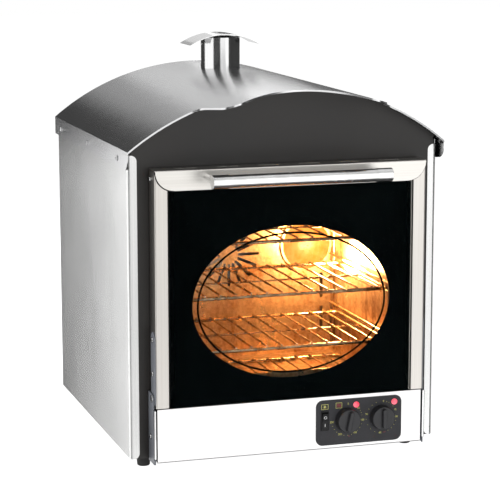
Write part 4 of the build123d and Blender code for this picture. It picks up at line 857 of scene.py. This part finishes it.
# ---------------------------------------------------------------- light
def softbox(name, place, aim, size, radiance):
    """A large plain light, seen by the metal but not by the camera."""
    light = bpy.data.lights.new(name, "AREA")
    light.shape = "RECTANGLE"
    light.size, light.size_y = size
    light.energy = radiance * size[0] * size[1] * math.pi
    box = bpy.data.objects.new(name, light)
    box.location = place
    box.rotation_euler = (Vector(aim) - Vector(place)).to_track_quat("-Z", "Y").to_euler()
    box.visible_camera = False
    bpy.context.scene.collection.objects.link(box)


# The left side panel mirrors these, brighter towards its front edge.
softbox("left_softbox", (-0.75, 0.1, 0.30), (0.0, 0.1, 0.30), (0.9, 1.6), 1.5)
softbox("left_low_softbox", (-0.70, 0.86, -0.22), (0.0, 0.86, -0.22), (0.95, 0.85), 2.6)
softbox("left_rear_strip", (-0.70, 0.92, 0.27), (0.0, 0.92, 0.27), (0.95, 0.18), 3.0)
softbox("left_front_softbox", (-1.0, -1.35, -0.2), (-0.15, -0.25, -0.1), (1.0, 1.1), 1.0)
# The door and the fascia mirror these.
softbox("front_softbox", (0.35, -1.9, 0.25), (0.35, 0.0, 0.25), (1.9, 2.3), 1.10)
softbox("front_upper_softbox", (0.35, -1.88, 0.72), (0.35, 0.0, 0.72), (1.9, 1.3), 0.3)
softbox("front_right_softbox", (0.95, -1.85, 0.25), (0.95, 0.0, 0.25), (0.75, 2.3), 0.5)
# The roof mirrors these, dark at its left eave and bright towards the flue.
softbox("back_right_softbox", (1.25, 2.5, 1.4), (0.3, 0.0, 0.6), (0.5, 0.8), 0.3)
softbox("back_softbox", (0.82, 2.5, 1.42), (0.3, 0.0, 0.6), (0.45, 1.0), 1.3)
softbox("back_middle_softbox", (0.40, 2.5, 1.42), (0.0, 0.0, 0.6), (0.45, 1.1), 0.80)
softbox("back_left_softbox", (0.0, 2.5, 1.5), (-0.2, 0.0, 0.6), (0.4, 1.1), 0.42)
# These fill the handle's underside, the right and rear panels, and what faces up.
softbox("front_low_softbox", (0.35, -1.45, -0.7), (0.35, -0.25, 0.3), (1.7, 0.8), 0.6)
softbox("right_softbox", (1.7, 0.0, -0.15), (0.25, 0.1, 0.2), (1.5, 0.9), 0.8)
softbox("rear_right_softbox", (1.55, 1.45, -0.1), (0.0, 0.1, 0.25), (1.1, 0.9), 0.7)
softbox("rear_softbox", (0.45, 1.9, 0.05), (0.1, 0.3, 0.25), (1.2, 0.9), 0.8)
softbox("front_top_softbox", (0.3, -1.75, 1.75), (0.1, -0.25, 0.45), (1.9, 0.8), 0.8)
softbox("top_softbox", (0.1, -0.45, 2.4), (0.0, -0.45, 0.4), (2.0, 2.2), 0.75)

# The lit bulb's light, a little in front of its glass so that it reaches the whole oven.
oven_lamp = bpy.data.lights.new("oven_lamp", "POINT")
oven_lamp.energy = 8.0
oven_lamp.color = (1.0, 0.60, 0.26)
oven_lamp.shadow_soft_size = 0.03
lamp_object = bpy.data.objects.new("oven_lamp", oven_lamp)
lamp_object.location = (lamp.x + 20 * MM, lamp_low.y - 70 * MM, lamp.z - 10 * MM)
bpy.context.scene.collection.objects.link(lamp_object)

# The camera sees a white room; the metal mirrors a dim one between the softboxes.
ROOM_SEEN = 1.0
ROOM_MIRRORED = 0.06

world = bpy.data.worlds.new("studio")
world.use_nodes = True
sky = world.node_tree
sky.nodes.clear()
seen = sky.nodes.new("ShaderNodeLightPath")
choose = sky.nodes.new("ShaderNodeMixShader")
out = sky.nodes.new("ShaderNodeOutputWorld")
sky.links.new(seen.outputs["Is Camera Ray"], choose.inputs[0])
for socket, strength in ((1, ROOM_MIRRORED), (2, ROOM_SEEN)):
    room = sky.nodes.new("ShaderNodeBackground")
    room.inputs["Color"].default_value = rgba(WHITE)
    room.inputs["Strength"].default_value = strength
    sky.links.new(room.outputs[0], choose.inputs[socket])
sky.links.new(choose.outputs[0], out.inputs[0])
bpy.context.scene.world = world


# ---------------------------------------------------------------- floor
FLOOR_HALF = 12.0

floor_finish = Finish("floor_white")
floor_grain = floor_finish.noise(3.0, 2.0)
floor_material = floor_finish.done(
    floor_finish.surface(
        Base_Color=floor_finish.tint(floor_grain, (0.90, 0.90, 0.90), (0.94, 0.94, 0.94)),
        Roughness=0.8,
        Specular_IOR_Level=0.1,
        Emission_Color=WHITE,
        Emission_Strength=1.0,
    )
)
ground = bmesh.new()
bmesh.ops.create_grid(ground, x_segments=8, y_segments=8, size=FLOOR_HALF)
ground_mesh = bpy.data.meshes.new("floor")
ground.to_mesh(ground_mesh)
ground.free()
ground_mesh.materials.append(floor_material)
floor = bpy.data.objects.new("floor", ground_mesh)
bpy.context.scene.collection.objects.link(floor)
floor.visible_glossy = False


# ---------------------------------------------------------------- camera
YAW = math.radians(17.36)
PITCH = math.radians(10.08)
ROLL = math.radians(0.03)

lens = bpy.data.cameras.new("camera")
lens.lens = 140.94
lens.sensor_width = 36
lens.clip_end = 50
camera = bpy.data.objects.new("camera", lens)
forward = Vector(
    (math.sin(YAW) * math.cos(PITCH), math.cos(YAW) * math.cos(PITCH), -math.sin(PITCH))
)
camera.location = (-0.9430, -3.03735, 0.8676)
camera.rotation_mode = "QUATERNION"
camera.rotation_quaternion = Quaternion(forward, ROLL) @ forward.to_track_quat("-Z", "Y")
bpy.context.scene.collection.objects.link(camera)
bpy.context.scene.camera = camera
bpy.context.scene.view_settings.view_transform = "Standard"
